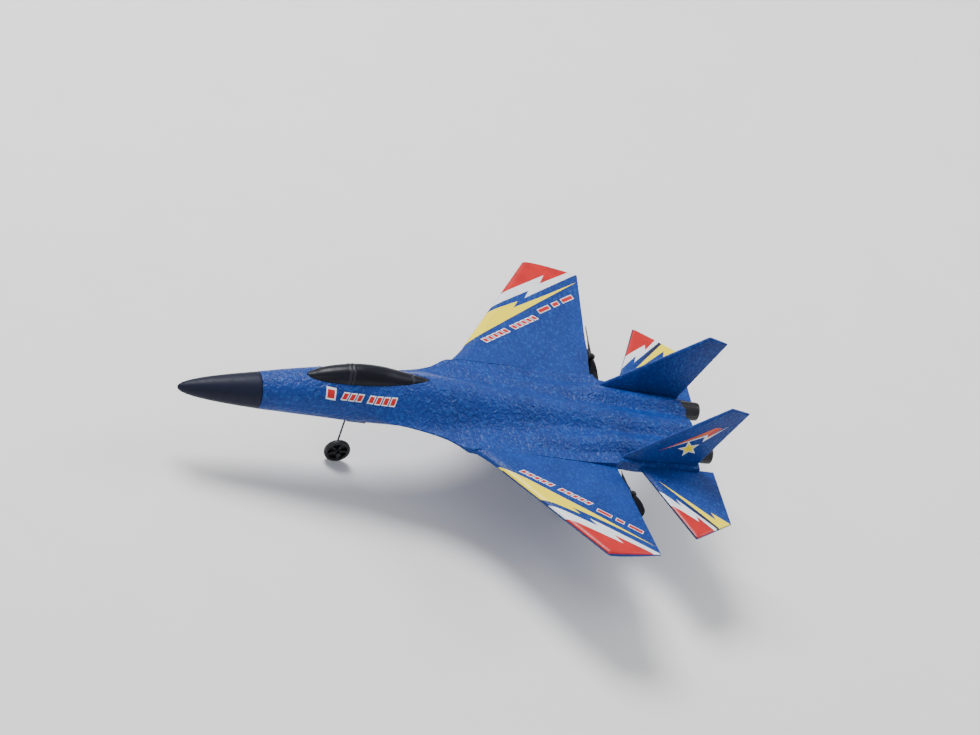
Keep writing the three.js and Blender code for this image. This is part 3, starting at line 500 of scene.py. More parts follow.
# Navy is print on the stabilisers and painted shade along the leading edges of the wings and stabilisers.
navy_print_and_edge_shade = vinyl("decal_navy_and_edge_shade", srgb(16, 24, 62), srgb(22, 30, 74))
vinyl_orange = vinyl("decal_orange", srgb(216, 92, 44), srgb(200, 78, 38))
wire_steel = brushed("wire_steel", (0.07, 0.07, 0.08, 1), (0.055, 0.055, 0.065, 1), (0.4, 0.5), (1, 1, 0.06))
bright_steel = brushed("bright_steel", (0.62, 0.62, 0.64, 1), (0.45, 0.45, 0.47, 1), (0.22, 0.36),
                       (1, 0.08, 1))
can_steel = brushed("motor_steel", (0.6, 0.6, 0.6, 1), (0.44, 0.44, 0.46, 1), (0.25, 0.4), (1, 0.06, 1))
white_abs = moulded("white_plastic", srgb(226, 222, 210), srgb(210, 205, 192), (0.35, 0.5), 0.5, 0.015)
lead_red = moulded("lead_insulation", srgb(172, 22, 22), srgb(148, 14, 16), (0.35, 0.5), 0.4, 0.012)
lead_black = moulded("aerial_insulation", srgb(22, 22, 24), srgb(34, 34, 36), (0.4, 0.55), 0.4, 0.012)
foil = moulded("battery_foil", (0.62, 0.64, 0.68, 1), (0.5, 0.52, 0.57, 1), (0.28, 0.46), 2.6, 0.12,
               metallic=0.8, size=5)


def circuit():
    """Green lacquer over copper tracks, with a fine glassy weave."""
    p = Paint("circuit_board", 0.35, coat=0.3)
    track = p.cells(2.6, "DISTANCE_TO_EDGE", random=0.4)
    base = p.blend(p.ranged(p.noise(6, 3.0), 0.3, 0.7, 0.0, 1.0), srgb(16, 84, 44), srgb(10, 66, 36))
    p.colour(p.blend(p.ranged(track, 0.05, 0.09, 0.55, 0.0), base, srgb(58, 138, 70)))
    p.roughness(p.ranged(p.noise(1.2, 2.0), 0.3, 0.7, 0.28, 0.45))
    p.bump(p.ranged(track, 0.05, 0.09, 1.0, 0.0), 0.03)
    p.bump(p.noise(0.4, 2.0), 0.01)
    return p.mat


board_green = circuit()


def dress(piece, body, slot, replaced, *mats):
    """Gives a new piece its materials and its body, and hides the nodes it stands for."""
    for mat in mats:
        piece.data.materials.append(mat)
    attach(piece, body)
    if replaced:
        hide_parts(*replaced)
    return piece


# ---------------------------------------------------------------- flying surfaces

CHORD = np.concatenate([0.1 * (1 - np.cos(np.linspace(0, math.pi / 2, 14))), np.linspace(0.1, 0.99, 56)[1:],
                        0.99 + 0.01 * np.sin(np.linspace(0, math.pi / 2, 6)[1:])])
SPAN = np.concatenate([[0, 0.006], np.linspace(0.02, 0.982, 74), 0.982 + 0.018 * np.sin(
    np.linspace(0, math.pi / 2, 7)[1:])])


def chord_shape(u, trail):
    """Half thickness along a chord: an elliptic front, full to mid chord, a taper and a rounded rear edge."""
    front = np.sqrt(np.clip(1 - (1 - np.minimum(u, 0.1) / 0.1) ** 2, 0, 1))
    taper = 1 - (1 - trail) * np.clip((u - 0.35) / 0.65, 0, 1) ** 1.35
    return front * taper * np.sqrt(1 - 0.8 * np.clip((u - 0.99) / 0.01, 0, 1) ** 2)


def tip_round(v):
    """Share of the thickness left near the tip, where the edge is rounded over."""
    return np.sqrt(1 - 0.85 * np.clip((v - 0.982) / 0.018, 0, 1) ** 2)


def wing_front(x):
    """Station of the leading edge: a curved root, then a straight sweep."""
    mid_x, mid_s = 47, 196
    a = WING["rootX"] - 2 * mid_x + WING["bendX"]
    b = 2 * (mid_x - WING["rootX"])
    t = (-b + np.sqrt(np.clip(b * b - 4 * a * (WING["rootX"] - x), 0, None))) / (2 * a)
    curved = (1 - t) ** 2 * WING["rootLE"] + 2 * t * (1 - t) * mid_s + t * t * WING["bendLE"]
    straight = mix(WING["bendLE"], WING["tipLE"], (x - WING["bendX"]) / (WING["tipX"] - WING["bendX"]))
    return np.where(x >= WING["bendX"], straight, curved)


SLOPE = math.atan(WING["dihedral"])


def in_wing(x, s, w):
    """A point in the flat frame of the left wing, set at its dihedral."""
    return np.stack([WING["rootX"] + x * math.cos(SLOPE) - w * math.sin(SLOPE), s + 0 * x,
                     WING["level"] + x * math.sin(SLOPE) + w * math.cos(SLOPE)], -1)


MOTOR_SPAN = (MOTOR["x"] - WING["rootX"] - MOTOR["drop"] * math.sin(SLOPE)) / math.cos(SLOPE)
MOTOR_LEVEL = float(in_wing(np.float64(MOTOR_SPAN), 0, -MOTOR["drop"])[2])


def wing_surface(u, v, up):
    front_x = mix(WING["rootX"], WING["tipX"], v)
    front_s = wing_front(front_x)
    back_x = mix(WING["rootX"], WING["tipRearX"], v)
    back_s = mix(WING["rootTE"], WING["tipTE"], v)
    half = mix(WING["rootHalf"], WING["tipHalf"], v) * tip_round(v)
    x = mix(front_x, back_x, u) - WING["rootX"] + WING["bulge"] * v * v * dome(2 * u**0.6 - 1, 1)
    s = mix(front_s, back_s, u)
    pod = dome((x - MOTOR_SPAN) / 9, 1) * dome((s - 284) / 22, 0.6)
    w = up * (half * chord_shape(u, WING["trail"]) + pod * (1 if up > 0 else 7.5))
    return in_wing(x + np.where(v == 0, GAP + WING["dihedral"] * w, 0), s, w)


def plate_surface(shape, put):
    """The two faces of a tapering plate between a root line and a tip line."""
    def at(u, v, up):
        r, t = shape["root"], shape["tip"]
        a = mix(mix(r[0][0], r[1][0], u), mix(t[0][0], t[1][0], u), v)
        b = mix(mix(r[0][1], r[1][1], u), mix(t[0][1], t[1][1], u), v)
        half = mix(shape["rootHalf"], shape["tipHalf"], v) * tip_round(v)
        return put(a, b, up * (half * chord_shape(u, shape["trail"]) + shape.get("grow", 0)))
    return at


def stab_put(x, s, w):
    return np.stack([x, s, STAB["level"] + w], -1)


def fin_put(s, w, out):
    x = FIN["x"] + FIN["toe"] * (s - FIN["root"][0][0]) + FIN["cant"] * (w - FIN["root"][0][1]) + out
    return np.stack([x, s, w], -1)


stab_surface = plate_surface(STAB, stab_put)
fin_surface = plate_surface(FIN, fin_put)
stab_slot = plate_surface({**STAB, "grow": GAP, "root": [
    [STAB["root"][0][0] - GAP, STAB["root"][0][1] - 2 * GAP],
    [STAB["root"][1][0] - GAP, STAB["root"][1][1] + 2]]}, stab_put)
fin_slot = plate_surface({**FIN, "grow": GAP, "root": [
    [FIN["root"][0][0] - 2 * GAP, FIN["root"][0][1] - GAP],
    [FIN["root"][1][0] + 2 * GAP, FIN["root"][1][1] - GAP]]}, fin_put)


def panel_rings(surface, side, span=SPAN, chord=CHORD):
    rings = []
    for v in span:
        top = surface(chord, np.full(len(chord), float(v)), 1)
        low = surface(chord, np.full(len(chord), float(v)), -1)
        rings.append(np.vstack([top, low[::-1]]))
    return sided(rings, side)


def slot_cutter(surface, side):
    """The slots are cut by a coarser, blunter form of the plate."""
    chord = np.array([0.004, 0.02, 0.05, 0.1, 0.3, 0.5, 0.7, 0.85, 0.99])
    return skin("cutter", panel_rings(surface, side, np.array([0.0, 0.3, 0.6]), chord))


for side, word in ((1, "left"), (-1, "right")):
    x = side * MOTOR["x"]
    wing = skin("wing_" + word, panel_rings(wing_surface, side), 40)
    pebble(wing, *WING_RELIEF, lambda co, s=side: s * co[:, 0] < (WING["rootX"] + GAP + 0.05) / 1000)
    bores = ((MOTOR["radius"], MOTOR["front"] - 2.5, SLEEVE["front"] + 1),
             (SLEEVE["radius"], SLEEVE["front"] - GAP, SLEEVE["rear"] + 4),
             (SLEEVE["lip"], SLEEVE["rear"] - 1 - GAP, SLEEVE["rear"] + 4))
    carve(wing, *(cylinder("cutter", r + GAP, x, MOTOR_LEVEL, front, rear) for r, front, rear in bores),
          sharp=40)
    dress(wing, "airframe", "foam", ["wing_" + word], foam_panel)
    for part, surface in (("stabilizer_" + word, stab_surface), ("fin_" + word, fin_surface)):
        panel = skin(part, panel_rings(surface, side), 40)
        pebble(panel, *TAIL_RELIEF)
        dress(panel, "airframe", "foam", [part], foam_panel)

# ---------------------------------------------------------------- foam body

STATIONS = np.unique(np.concatenate([np.arange(52, 186, 1.35), [186.3, 186.8, 187.4, 187.8, 188.3, 188.8],
                                     np.arange(190, 286, 1.35), [286, 286.8, 287.6],
                                     np.arange(289, 344, 1.35), [344.2, 344.7, TAIL_END]]))


def section_x(turn, half, inner=46, outer=12):
    a = turn * np.sin(math.pi / 2 * np.linspace(0, 1, inner + 1))
    b = mix(turn, half, np.sin(math.pi / 2 * np.linspace(0, 1, outer + 1)))[1:]
    right = np.concatenate([a, b])
    return np.concatenate([-right[:0:-1], right])


def body_rings(outer, side, turn):
    rings = []
    for s in STATIONS:
        lean = FOAM_TILT * max(0.0, 1 - (s - 52) / 68)
        level = float(level_at(s))
        x = section_x(float(turn(s)), float(half_at(s)))
        w = outer(x, np.full(len(x), s))
        end = 1 - 0.012 * max(0.0, (s - 344) / 1.0) ** 2
        part = level + side * SEAM
        face = np.array([[x[-1], part], [0.0, part], [x[0], part]])
        both = np.vstack([np.stack([x, level + (w - level) * end], -1), face])
        rings.append(np.stack([both[:, 0], s - (both[:, 1] - level) * lean, both[:, 1]], -1))
    return rings


def canopy_place(grow, sink, count=90, arc=44, relief=None):
    """Rings of the canopy's dome, from its front point to its rear point."""
    half_curve = curve([[79, 0.3], [80, 2], [83.4, 4.1], [89.5, 5.9], [98.7, 7.2], [108, 7.8],
                        [119.6, 7.9], [130, 7.3], [141, 5.9], [150, 4.1], [156, 2.5], [158, 1.5],
                        [159, 0.3]])
    crown_curve = curve([[79, 24.3], [83, 26.5], [87, 28.8], [95, 31.8], [105, 34.3], [116, 35.7],
                         [126, 35.5], [138, 33.8], [150, 32.1], [159, 31.4]])
    t = np.linspace(0, 1, count)
    angle = math.pi * (1 - np.arange(arc + 1) / arc)
    rings = []
    for s in mix(79, 159, (1 - np.cos(math.pi * t)) / 2 * 0.35 + t * 0.65):
        proud = grow + (0 if relief is None else relief(s, angle))
        half = np.maximum(0.25, half_curve(s) + proud)
        foot = float(body_top(half_curve(s), np.float64(s))) - sink
        top = np.maximum(foot + 0.3, crown_curve(s) + proud)
        shift = -max(0, grow) if s == 79 else max(0, grow) if s == 159 else 0
        rings.append(np.stack([half * np.cos(angle), np.full(arc + 1, s + shift),
                               mix(foot, top, np.sin(angle) ** 0.85)], -1))
    return rings


def parting(co):
    """The joint between the two body halves stays as moulded."""
    s = (co[:, 1] - FRONT) * 1000
    w = (co[:, 2] - GROUND) * 1000
    return np.abs(w - level_at(s)) < 0.2


def shared_cutters():
    cutters = []
    for side in (1, -1):
        cutters.append(cylinder("cutter", EXHAUST["radius"] + GAP, side * EXHAUST["x"], EXHAUST["level"],
                                EXHAUST["front"] - GAP, TAIL_END + 2))
        cutters.append(slot_cutter(stab_slot, side))
        cutters.append(slot_cutter(fin_slot, side))
    return cutters


upper = skin("fuselage_top", body_rings(body_top, 1, lambda s: 0.88 * half_at(s)), 40)
pebble(upper, *BODY_RELIEF, parting)
carve(upper, *shared_cutters(), skin("cutter", canopy_place(GAP, 1.3 + GAP)), sharp=40)
dress(upper, "airframe", "foam", ["fuselage_top"], foam_body)

lower = skin("fuselage_bottom",
             body_rings(body_bottom, -1, lambda s: np.minimum(0.97 * half_at(s), wall_at(s))), 40)
pebble(lower, *BODY_RELIEF, parting)
gear_x = MAIN_GEAR["wheelX"] - WHEEL["half"] - 1.5
openings = [
    rounded_block("cutter", (-BAY["half"] - GAP, BAY["front"] - GAP, -9),
                  (BAY["half"] + GAP, BAY["rear"] + GAP, BAY["roof"] + GAP), 0.2),
    rounded_block("cutter", (-NOSE_GEAR["half"] - GAP, NOSE_GEAR["front"] - GAP, -12),
                  (NOSE_GEAR["half"] + GAP, NOSE_GEAR["rear"] + GAP, -3 + GAP), 0.2)]
for side in (1, -1):
    x0, x1 = sorted((side * (gear_x - MAIN_GEAR["half"] - GAP), side * (gear_x + MAIN_GEAR["half"] + GAP)))
    openings.append(rounded_block("cutter", (x0, MAIN_GEAR["front"] - GAP, -8),
                                  (x1, MAIN_GEAR["rear"] + GAP, MAIN_GEAR["depth"] + 1 + GAP), 0.2))
    x0, x1 = sorted((side * INTAKE["inner"], side * INTAKE["outer"]))
    openings.append(rounded_block("cutter", (x0, INTAKE["front"], INTAKE["low"]),
                                  (x1, INTAKE["rear"], INTAKE["high"]), 1.6, 8))
carve(lower, *shared_cutters(), *openings, sharp=40)
dress(lower, "airframe", "foam", ["fuselage_bottom"], foam_body)

# ---------------------------------------------------------------- nose cone, canopy, exhausts

def nose_cone():
    """A blunt ogive tilted down by the droop, with a plug behind it."""
    axis = math.hypot(NOSE["length"], NOSE["droop"])
    along = axis - GAP
    share = np.linspace(0, 1, 60) ** 2.2
    profile = [(NOSE["radius"] * t ** NOSE["power"], t * along) for t in share]
    profile[-1] = (NOSE["radius"] - 0.12, along)
    profile.insert(-1, (NOSE["radius"] * 0.9975, along - 0.25))
    plug = 9
    deep = along + 8
    profile += [(plug, along), (plug, deep), (0, deep)]
    tip = math.atan2(NOSE["droop"], NOSE["length"])
    rings = lathe_rings(profile, 96)
    h, r = rings[..., 1].copy(), rings[..., 2].copy()
    rings[..., 1] = h * math.cos(tip) - r * math.sin(tip)
    rings[..., 2] = h * math.sin(tip) + r * math.cos(tip)
    return skin("nose_cone", rings, 45)


dress(nose_cone(), "airframe", "nose_plastic", ["nose_cone"], nose_black)


def band(s, where, width):
    """1 on a narrow band about a station, 0 away from it."""
    return np.clip(1.6 - 1.6 * abs(s - where) / width, 0, 1)


def frame_relief(s, angle):
    """The moulded frame stands a little proud: two arches, one behind, and a sill along the foot."""
    arches = max(*(band(s, at, 0.9) for at in FRONT_ARCHES), band(s, REAR_ARCH, 1.1))
    sill = np.clip((0.16 - np.sin(angle) ** 0.85) / 0.05, 0, 1)
    return 0.3 * np.maximum(arches, sill) - 0.05


canopy = skin("canopy", canopy_place(0, 1.3, 260, 96, frame_relief), 50)
dress(canopy, "airframe", "canopy_plastic", ["canopy"], glass_dark, frame_dark)
for face in canopy.data.polygons:
    x, y, z = face.center
    s = (y - FRONT) * 1000
    if max(band(s, 104.6, 1.0), band(s, 107.0, 1.0), band(s, 147.6, 1.2)) > 0.5 or s > 156 or s < 80.5:
        face.material_index = 1

for side, word in ((1, "left"), (-1, "right")):
    def petals(angle, along):
        deep = 0.22 * np.clip((along - 346) / 1.5, 0, 1)
        return -deep * np.clip(1 - np.abs(np.sin(9 * angle)) / 0.28, 0, 1)

    r, rear, front, wall = EXHAUST["radius"], EXHAUST["rear"], EXHAUST["front"], EXHAUST["wall"]
    outside = [(0, front), (r, front), (r, 345.4), (r, 346), (r, 347.6), (r, rear - 2), (r - 0.1, rear - 1),
               (r - 0.22, rear - 0.15), (r - 0.34, rear)]
    inside = [(r - wall - 0.1, rear), (r - wall - 0.25, rear - 0.2), (r - wall, rear - 2),
              (r - wall, rear - 4), (r - wall - 0.35, rear - 4.3), (r - wall - 0.35, rear - 5),
              (r - wall, rear - 5.3), (r - wall, 343), (2, 343), (1.6, 344.5), (0.8, 347), (0, 348)]
    rings = lathe_rings(outside, 180, (side * EXHAUST["x"], 0, EXHAUST["level"]), bend=petals)
    inner = lathe_rings(inside, 180, (side * EXHAUST["x"], 0, EXHAUST["level"]))
    nozzle = skin("exhaust_" + word, np.vstack([rings, inner]), 40)
    dress(nozzle, "airframe", "black_plastic", ["exhaust_" + word], satin_black)

# ---------------------------------------------------------------- motors and propellers

def propeller_parts(side):
    chord = curve([[1.2, 3.2], [7, 5.6], [15, 7.2], [21, 6.8], [24, 4.6]])
    pitch = curve([[1.2, 0.95], [7, 0.72], [15, 0.5], [24, 0.4]])
    parts = []
    angle = np.linspace(0, 2 * math.pi, 28, endpoint=False)
    stations = np.concatenate([np.linspace(1.2, 22.6, 34), 22.6 + 1.4 * np.sin(np.linspace(0, 1.5, 6)[1:])])
    for turn in (0, math.pi):
        rings = []
        for r in stations:
            end = math.sqrt(max(0.02, 1 - max(0.0, (r - 22.6) / 1.45) ** 2))
            across = float(chord(r)) / 2 * np.cos(angle) * (0.45 + 0.55 * end)
            thick = mix(0.65, 0.35, r / 24) * np.sin(angle) * (0.6 + 0.4 * np.cos(angle)) * end
            camber = 0.35 * (1 - np.cos(angle) ** 2)
            p = float(pitch(r))
            s = across * math.sin(p) + (thick + camber) * math.cos(p)
            w = across * math.cos(p) - (thick + camber) * math.sin(p)
            rings.append(np.stack([np.full(28, r), s, w], -1))
        rings = np.array(rings)
        if turn:
            rings[..., 0] *= -1
            rings[..., 2] *= -1
        parts.append((rings, False))
    hub = [(0.6, -2), (2.1, -2), (2.4, -1.7), (2.4, 0.9), (2.3, 1.2), (2.1, 1.7), (1.7, 2.35), (1.2, 2.8),
           (0.6, 3), (0.6, -2)]
    parts.append((lathe_rings(hub, 48), False))
    cos, sin = math.cos(-side * PROP["rest"]), math.sin(-side * PROP["rest"])
    turned = []
    for rings, loop in parts:
        x, w = rings[..., 0].copy(), rings[..., 2].copy()
        rings[..., 0] = x * cos + w * sin + side * MOTOR["x"]
        rings[..., 2] = -x * sin + w * cos + MOTOR_LEVEL
        rings[..., 1] += PROP["station"]
        turned.append((rings, loop))
    return turned


for side, word in ((1, "left"), (-1, "right")):
    dress(skins("propeller_" + word, propeller_parts(side), 45), word + "_propeller", "prop_plastic",
          ["propeller_" + word], prop_black)
    r, lip, rear, front = SLEEVE["radius"], SLEEVE["lip"], SLEEVE["rear"], SLEEVE["front"]
    profile = [(r, front), (r, rear - 1.1), (r + 0.15, rear - 1), (lip - 0.15, rear - 1), (lip, rear - 0.85),
               (lip, rear - 0.15), (lip - 0.15, rear), (1.6, rear), (1.45, rear - 0.15), (1.45, rear - 1.4),
               (3.55, rear - 1.4), (3.55, front), (r, front)]
    sleeve = skin("motor_sleeve_" + word, lathe_rings(profile, 72, (side * MOTOR["x"], 0, MOTOR_LEVEL)), 40)
    dress(sleeve, "airframe", "black_plastic", ["motor_sleeve_" + word], satin_black)

# ---------------------------------------------------------------- undercarriage

def wheel(name, x, station, body):
    """A moulded wheel: a ribbed tread, a dished rim, five spokes and a bored hub."""
    r, h, rim, hub = WHEEL["radius"], WHEEL["half"], WHEEL["rim"], WHEEL["hub"]
    at = (x, station, WHEEL["level"])
    t = WHEEL["tread"]
    tyre = [(rim, -t + 0.25), (rim + 0.2, -t), (r - 0.75, -t), (r - 0.38, -t + 0.14), (r - 0.12, -t + 0.36),
            (r, -t + 0.7), (r, -0.5), (r - 0.2, -0.42), (r - 0.2, -0.26), (r, -0.18), (r, 0.18),
            (r - 0.2, 0.26), (r - 0.2, 0.42), (r, 0.5), (r, t - 0.7), (r - 0.12, t - 0.36),
            (r - 0.38, t - 0.14), (r - 0.75, t), (rim + 0.2, t), (rim, t - 0.25), (rim - 0.12, 0),
            (rim, -t + 0.25)]
    boss = [(0.7, -h - 0.1), (hub - 0.25, -h - 0.1), (hub, -h + 0.15), (hub, h - 0.15), (hub - 0.25, h + 0.1),
            (0.7, h + 0.1), (0.7, -h - 0.1)]
    parts = [(lathe_rings(tyre, 88, at, "x"), False), (lathe_rings(boss, 48, at, "x"), False)]
    for k in range(WHEEL["spokes"]):
        angle = 2 * math.pi * k / WHEEL["spokes"] + 0.3
        out = np.array([0, math.sin(angle), math.cos(angle)])
        across = np.array([0, math.cos(angle), -math.sin(angle)])
        rings = []
        for radius, wide, deep in ((hub - 0.4, 1.05, 1.15), (hub + 0.7, 0.86, 1.0), (4.3, 0.74, 0.84),
                                   (rim - 0.8, 0.84, 0.95), (rim + 0.2, 1.15, 1.2)):
            a = np.linspace(0, 2 * math.pi, 20, endpoint=False)
            c, d = np.cos(a), np.sin(a)
            px = deep * np.sign(c) * np.abs(c) ** 0.45
            py = wide * np.sign(d) * np.abs(d) ** 0.45
            rings.append(np.array(at) + radius * out + py[:, None] * across + px[:, None] * [1, 0, 0])
        parts.append((rings, False))
    dress(skins(name, parts, 40), body, "wheel_plastic", [name], soft_black)


def leg(wheel_x, station, top, foot):
    """The bent wire's path: out of the foam at the top, down and through the wheel as its axle."""
    x = wheel_x - WHEEL["half"] - 1.5
    low = WHEEL["level"]
    path = [[x, top, foot], [x, mix(top, station, 0.1), foot - 3], [x, mix(top, station, 0.9), low + 3],
            [x + 0.15, station, low + 0.8], [x + 0.8, station, low], [x + 2, station, low],
            [wheel_x + WHEEL["half"] + 1.7, station, low]]
    return spline(path)


wheel("nose_wheel", 0, NOSE_GEAR["station"], "nose_wheel")
nose_leg = skin("nose_gear_leg", tube_rings(leg(0, NOSE_GEAR["station"], NOSE_GEAR["top"], -5), WIRE), 50)
dress(nose_leg, "airframe", "steel", ["nose_gear_leg"], wire_steel)
for side, word in ((1, "left"), (-1, "right")):
    wheel("main_wheel_" + word, side * MAIN_GEAR["wheelX"], MAIN_GEAR["station"], word + "_main_wheel")
    path = sided(leg(MAIN_GEAR["wheelX"], MAIN_GEAR["station"], MAIN_GEAR["station"] - 2, 1), side)
    main_leg = skin("main_gear_leg_" + word, tube_rings(path, WIRE), 50)
    dress(main_leg, "airframe", "steel", ["main_gear_leg_" + word], wire_steel)

# ---------------------------------------------------------------- printed film on the foam, with painted shade along the leading edges

def inside(point, outline):
    """Whether a point lies within a closed outline."""
    x, y = point
    hit = False
    for (x0, y0), (x1, y1) in zip(outline, outline[1:] + outline[:1]):
        if (y0 > y) != (y1 > y) and x < x0 + (x1 - x0) * (y - y0) / (y1 - y0):
            hit = not hit
    return hit


def film(name, patch, shapes, axes, out, lift=0.1):
    """Cuts film shapes out of a patch of the surface under them and lifts them by the film's thickness.

    patch is a grid of points, shapes are (material, outline) in the plane of the two axes with the
    uppermost first, and out is a direction that points away from the foam.
    """
    patch = np.asarray(patch, float)
    rows, count = patch.shape[:2]
    grid = np.arange(rows * count).reshape(rows, count)
    quads = np.stack([grid[:-1, :-1], grid[:-1, 1:], grid[1:, 1:], grid[1:, :-1]], -1).reshape(-1, 4)
    mesh = bpy.data.meshes.new(name)
    mesh.from_pydata(patch.reshape(-1, 3).tolist(), [], quads.tolist())
    bm = bmesh.new()
    bm.from_mesh(mesh)
    bmesh.ops.remove_doubles(bm, verts=bm.verts, dist=1e-3)
    bmesh.ops.recalc_face_normals(bm, faces=bm.faces)
    if sum((f.normal * f.calc_area() for f in bm.faces), Vector()).dot(Vector(out)) < 0:
        bmesh.ops.reverse_faces(bm, faces=bm.faces)
    a, b = axes
    for _, outline in shapes:
        low, high = np.min(outline, axis=0) - 0.5, np.max(outline, axis=0) + 0.5
        for (a0, b0), (a1, b1) in zip(outline, outline[1:] + outline[:1]):
            near = [f for f in bm.faces
                    if max(v.co[a] for v in f.verts) > low[0] and min(v.co[a] for v in f.verts) < high[0]
                    and max(v.co[b] for v in f.verts) > low[1] and min(v.co[b] for v in f.verts) < high[1]]
            co, no = Vector(), Vector()
            co[a], co[b] = a0, b0
            no[a], no[b] = b1 - b0, a0 - a1
            geom = list({e for f in near for e in f.edges}) + list({v for f in near for v in f.verts}) + near
            bmesh.ops.bisect_plane(bm, geom=geom, plane_co=co, plane_no=no, dist=1e-4)
    used = list(dict.fromkeys(mat for mat, _ in shapes))
    drop = []
    for face in bm.faces:
        middle = face.calc_center_median()
        found = next((mat for mat, outline in shapes if inside((middle[a], middle[b]), outline)), None)
        if found is None:
            drop.append(face)
        else:
            face.material_index = used.index(found)
    bm.normal_update()
    for vert in bm.verts:
        vert.co += vert.normal * lift
    bmesh.ops.delete(bm, geom=drop, context="FACES")
    bm.to_mesh(mesh)
    bm.free()
    points = np.empty(len(mesh.vertices) * 3)
    mesh.vertices.foreach_get("co", points)
    mesh.vertices.foreach_set("co", place(points.reshape(-1, 3)).ravel())
    mesh.update()
    smooth(mesh, 60)
    return dress(link(name, mesh), "airframe", "foam", None, *used)


def bar(centre, along, length, height, slant=0.0):
    """The outline of a slanted bar about a centre, lying along a direction."""
    d = np.array(along, float) / np.hypot(*along)
    n = np.array([-d[1], d[0]])
    c = np.array(centre, float)
    return [tuple((c + d * (u * length / 2 + v * slant / 2) + n * v * height / 2).tolist())
            for u, v in ((-1, -1), (1, -1), (1, 1), (-1, 1))]


def rimmed_bar(centre, along, length, height, slant, rim, fill, edge):
    return [(fill, bar(centre, along, length, height, slant)),
            (edge, bar(centre, along, length + 2 * rim, height + 2 * rim, slant * (1 + 2 * rim / height)))]


def star(centre, radius, turn):
    """The outline of a five-pointed star."""
    points = []
    for k in range(10):
        r = radius * (1 if k % 2 == 0 else 0.42)
        a = turn + math.pi * k / 5
        points.append((centre[0] + r * math.cos(a), centre[1] + r * math.sin(a)))
    return points


WING_SHAPES = [
    (vinyl_yellow, [(52.5, 198.6), (81.5, 218.0), (84.5, 223.2), (95.6, 244.7), (89.6, 240.6), (104.8, 267.2),
                    (119.0, 290.4), (57.8, 205.2)]),
    (vinyl_white, [(86.0, 220.0), (100.0, 228.0), (101.0, 234.3), (120.6, 267.4), (113.0, 263.2),
                   (127.2, 287.2), (126.0, 292.0), (98.9, 250.0), (105.8, 254.2), (89.6, 226.8)]),
    (vinyl_red, [(100.0, 228.0), (136.0, 252.0), (134.0, 270.0), (127.2, 287.2), (113.0, 263.2),
                 (120.6, 267.4), (101.0, 234.3)]),
]
# Painted shade: a thin navy strip along the leading edge, where the rounded front turns away from the light.
LEADING_EDGE_SHADE = [(56.8, 202.0), (57.4, 203.05), (131.4, 255.6), (133.5, 256.0), (130.0, 252.0)]
WING_SHAPES.insert(0, (navy_print_and_edge_shade, LEADING_EDGE_SHADE))
BARS_ALONG = (0.535, 0.845)
for offset in (3, 7.6, 12.2, 16.8, 21.4, 29.5, 34.1, 38.7, 43.3, 47.9):
    spot = (57.6 + BARS_ALONG[0] * offset, 213.3 + BARS_ALONG[1] * offset)
    WING_SHAPES += rimmed_bar(spot, BARS_ALONG, 2.6, 3.0, 1.6, 0.6, vinyl_red, vinyl_white)
for offset, length in ((3.5, 9.5), (14.5, 5.0), (25.5, 9.5)):
    spot = (89.9 + BARS_ALONG[0] * offset, 259.4 + BARS_ALONG[1] * offset)
    WING_SHAPES += rimmed_bar(spot, BARS_ALONG, length, 2.6, 0, 0.5, vinyl_red, vinyl_white)

STAB_SHAPES = [
    (vinyl_yellow, [(47.1, 313.9), (76.4, 346.9), (70.1, 344.9), (79.8, 359.0), (86.8, 351.0),
                    (84.6, 348.4)]),
    (navy_print_and_edge_shade, [(57.4, 321.0), (86.4, 351.0), (87.4, 348.0)]),
    (vinyl_white, [(50.5, 306.2), (60.5, 309.2), (79.8, 334.2), (74.8, 333.2), (88.5, 345.4),
                   (87.4, 348.6), (61.6, 322.4), (68.0, 325.0), (53.5, 311.0)]),
    (vinyl_red, [(60.5, 309.2), (66.0, 308.0), (98.0, 326.0), (97.0, 332.0), (88.5, 345.4), (74.8, 333.2),
                 (79.8, 334.2)]),
]
# Painted shade: a thin navy strip along the stabiliser's leading edge, where the rounded front turns away
# from the light.
STAB_SHAPES.insert(0, (navy_print_and_edge_shade, [(46.0, 306.9), (46.0, 308.5), (94.4, 330.0), (96.5, 329.5),
                                    (94.8, 327.0)]))
FIN_SHAPES = [
    (vinyl_yellow, star((331.0, 29.8), 5.2, 1.95)),
    (vinyl_white, star((331.0, 29.8), 7.4, 1.95)),
    (vinyl_red, [(339.0, 43.9), (342.2, 49.4), (345.4, 50.1), (339.6, 41.6)]),
    (vinyl_white, [(314.7, 27.8), (338.9, 43.9), (339.6, 41.0), (350.1, 52.7), (337.9, 36.6),
                   (337.6, 41.6), (325.3, 34.2)]),
    (vinyl_orange, [(311.0, 25.5), (329.6, 40.0), (341.8, 50.5), (346.4, 50.6), (339.8, 41.2), (338.8, 44.3),
                    (325.0, 34.9)]),
]

FILM_CHORD = np.concatenate([0.1 * (1 - np.cos(np.linspace(0, math.pi / 2, 12))),
                             np.linspace(0.1, 0.995, 44)[1:]])
FILM_SPAN = np.concatenate([[0.004], np.linspace(0.02, 0.982, 50), 0.982 + 0.017 * np.sin(
    np.linspace(0, math.pi / 2, 5)[1:])])


def face_patch(surface, up, side):
    return sided([surface(FILM_CHORD, np.full(len(FILM_CHORD), float(v)), up) for v in FILM_SPAN], side)


def sided_shapes(shapes, side):
    return [(mat, [(side * a, b) for a, b in outline]) for mat, outline in shapes]


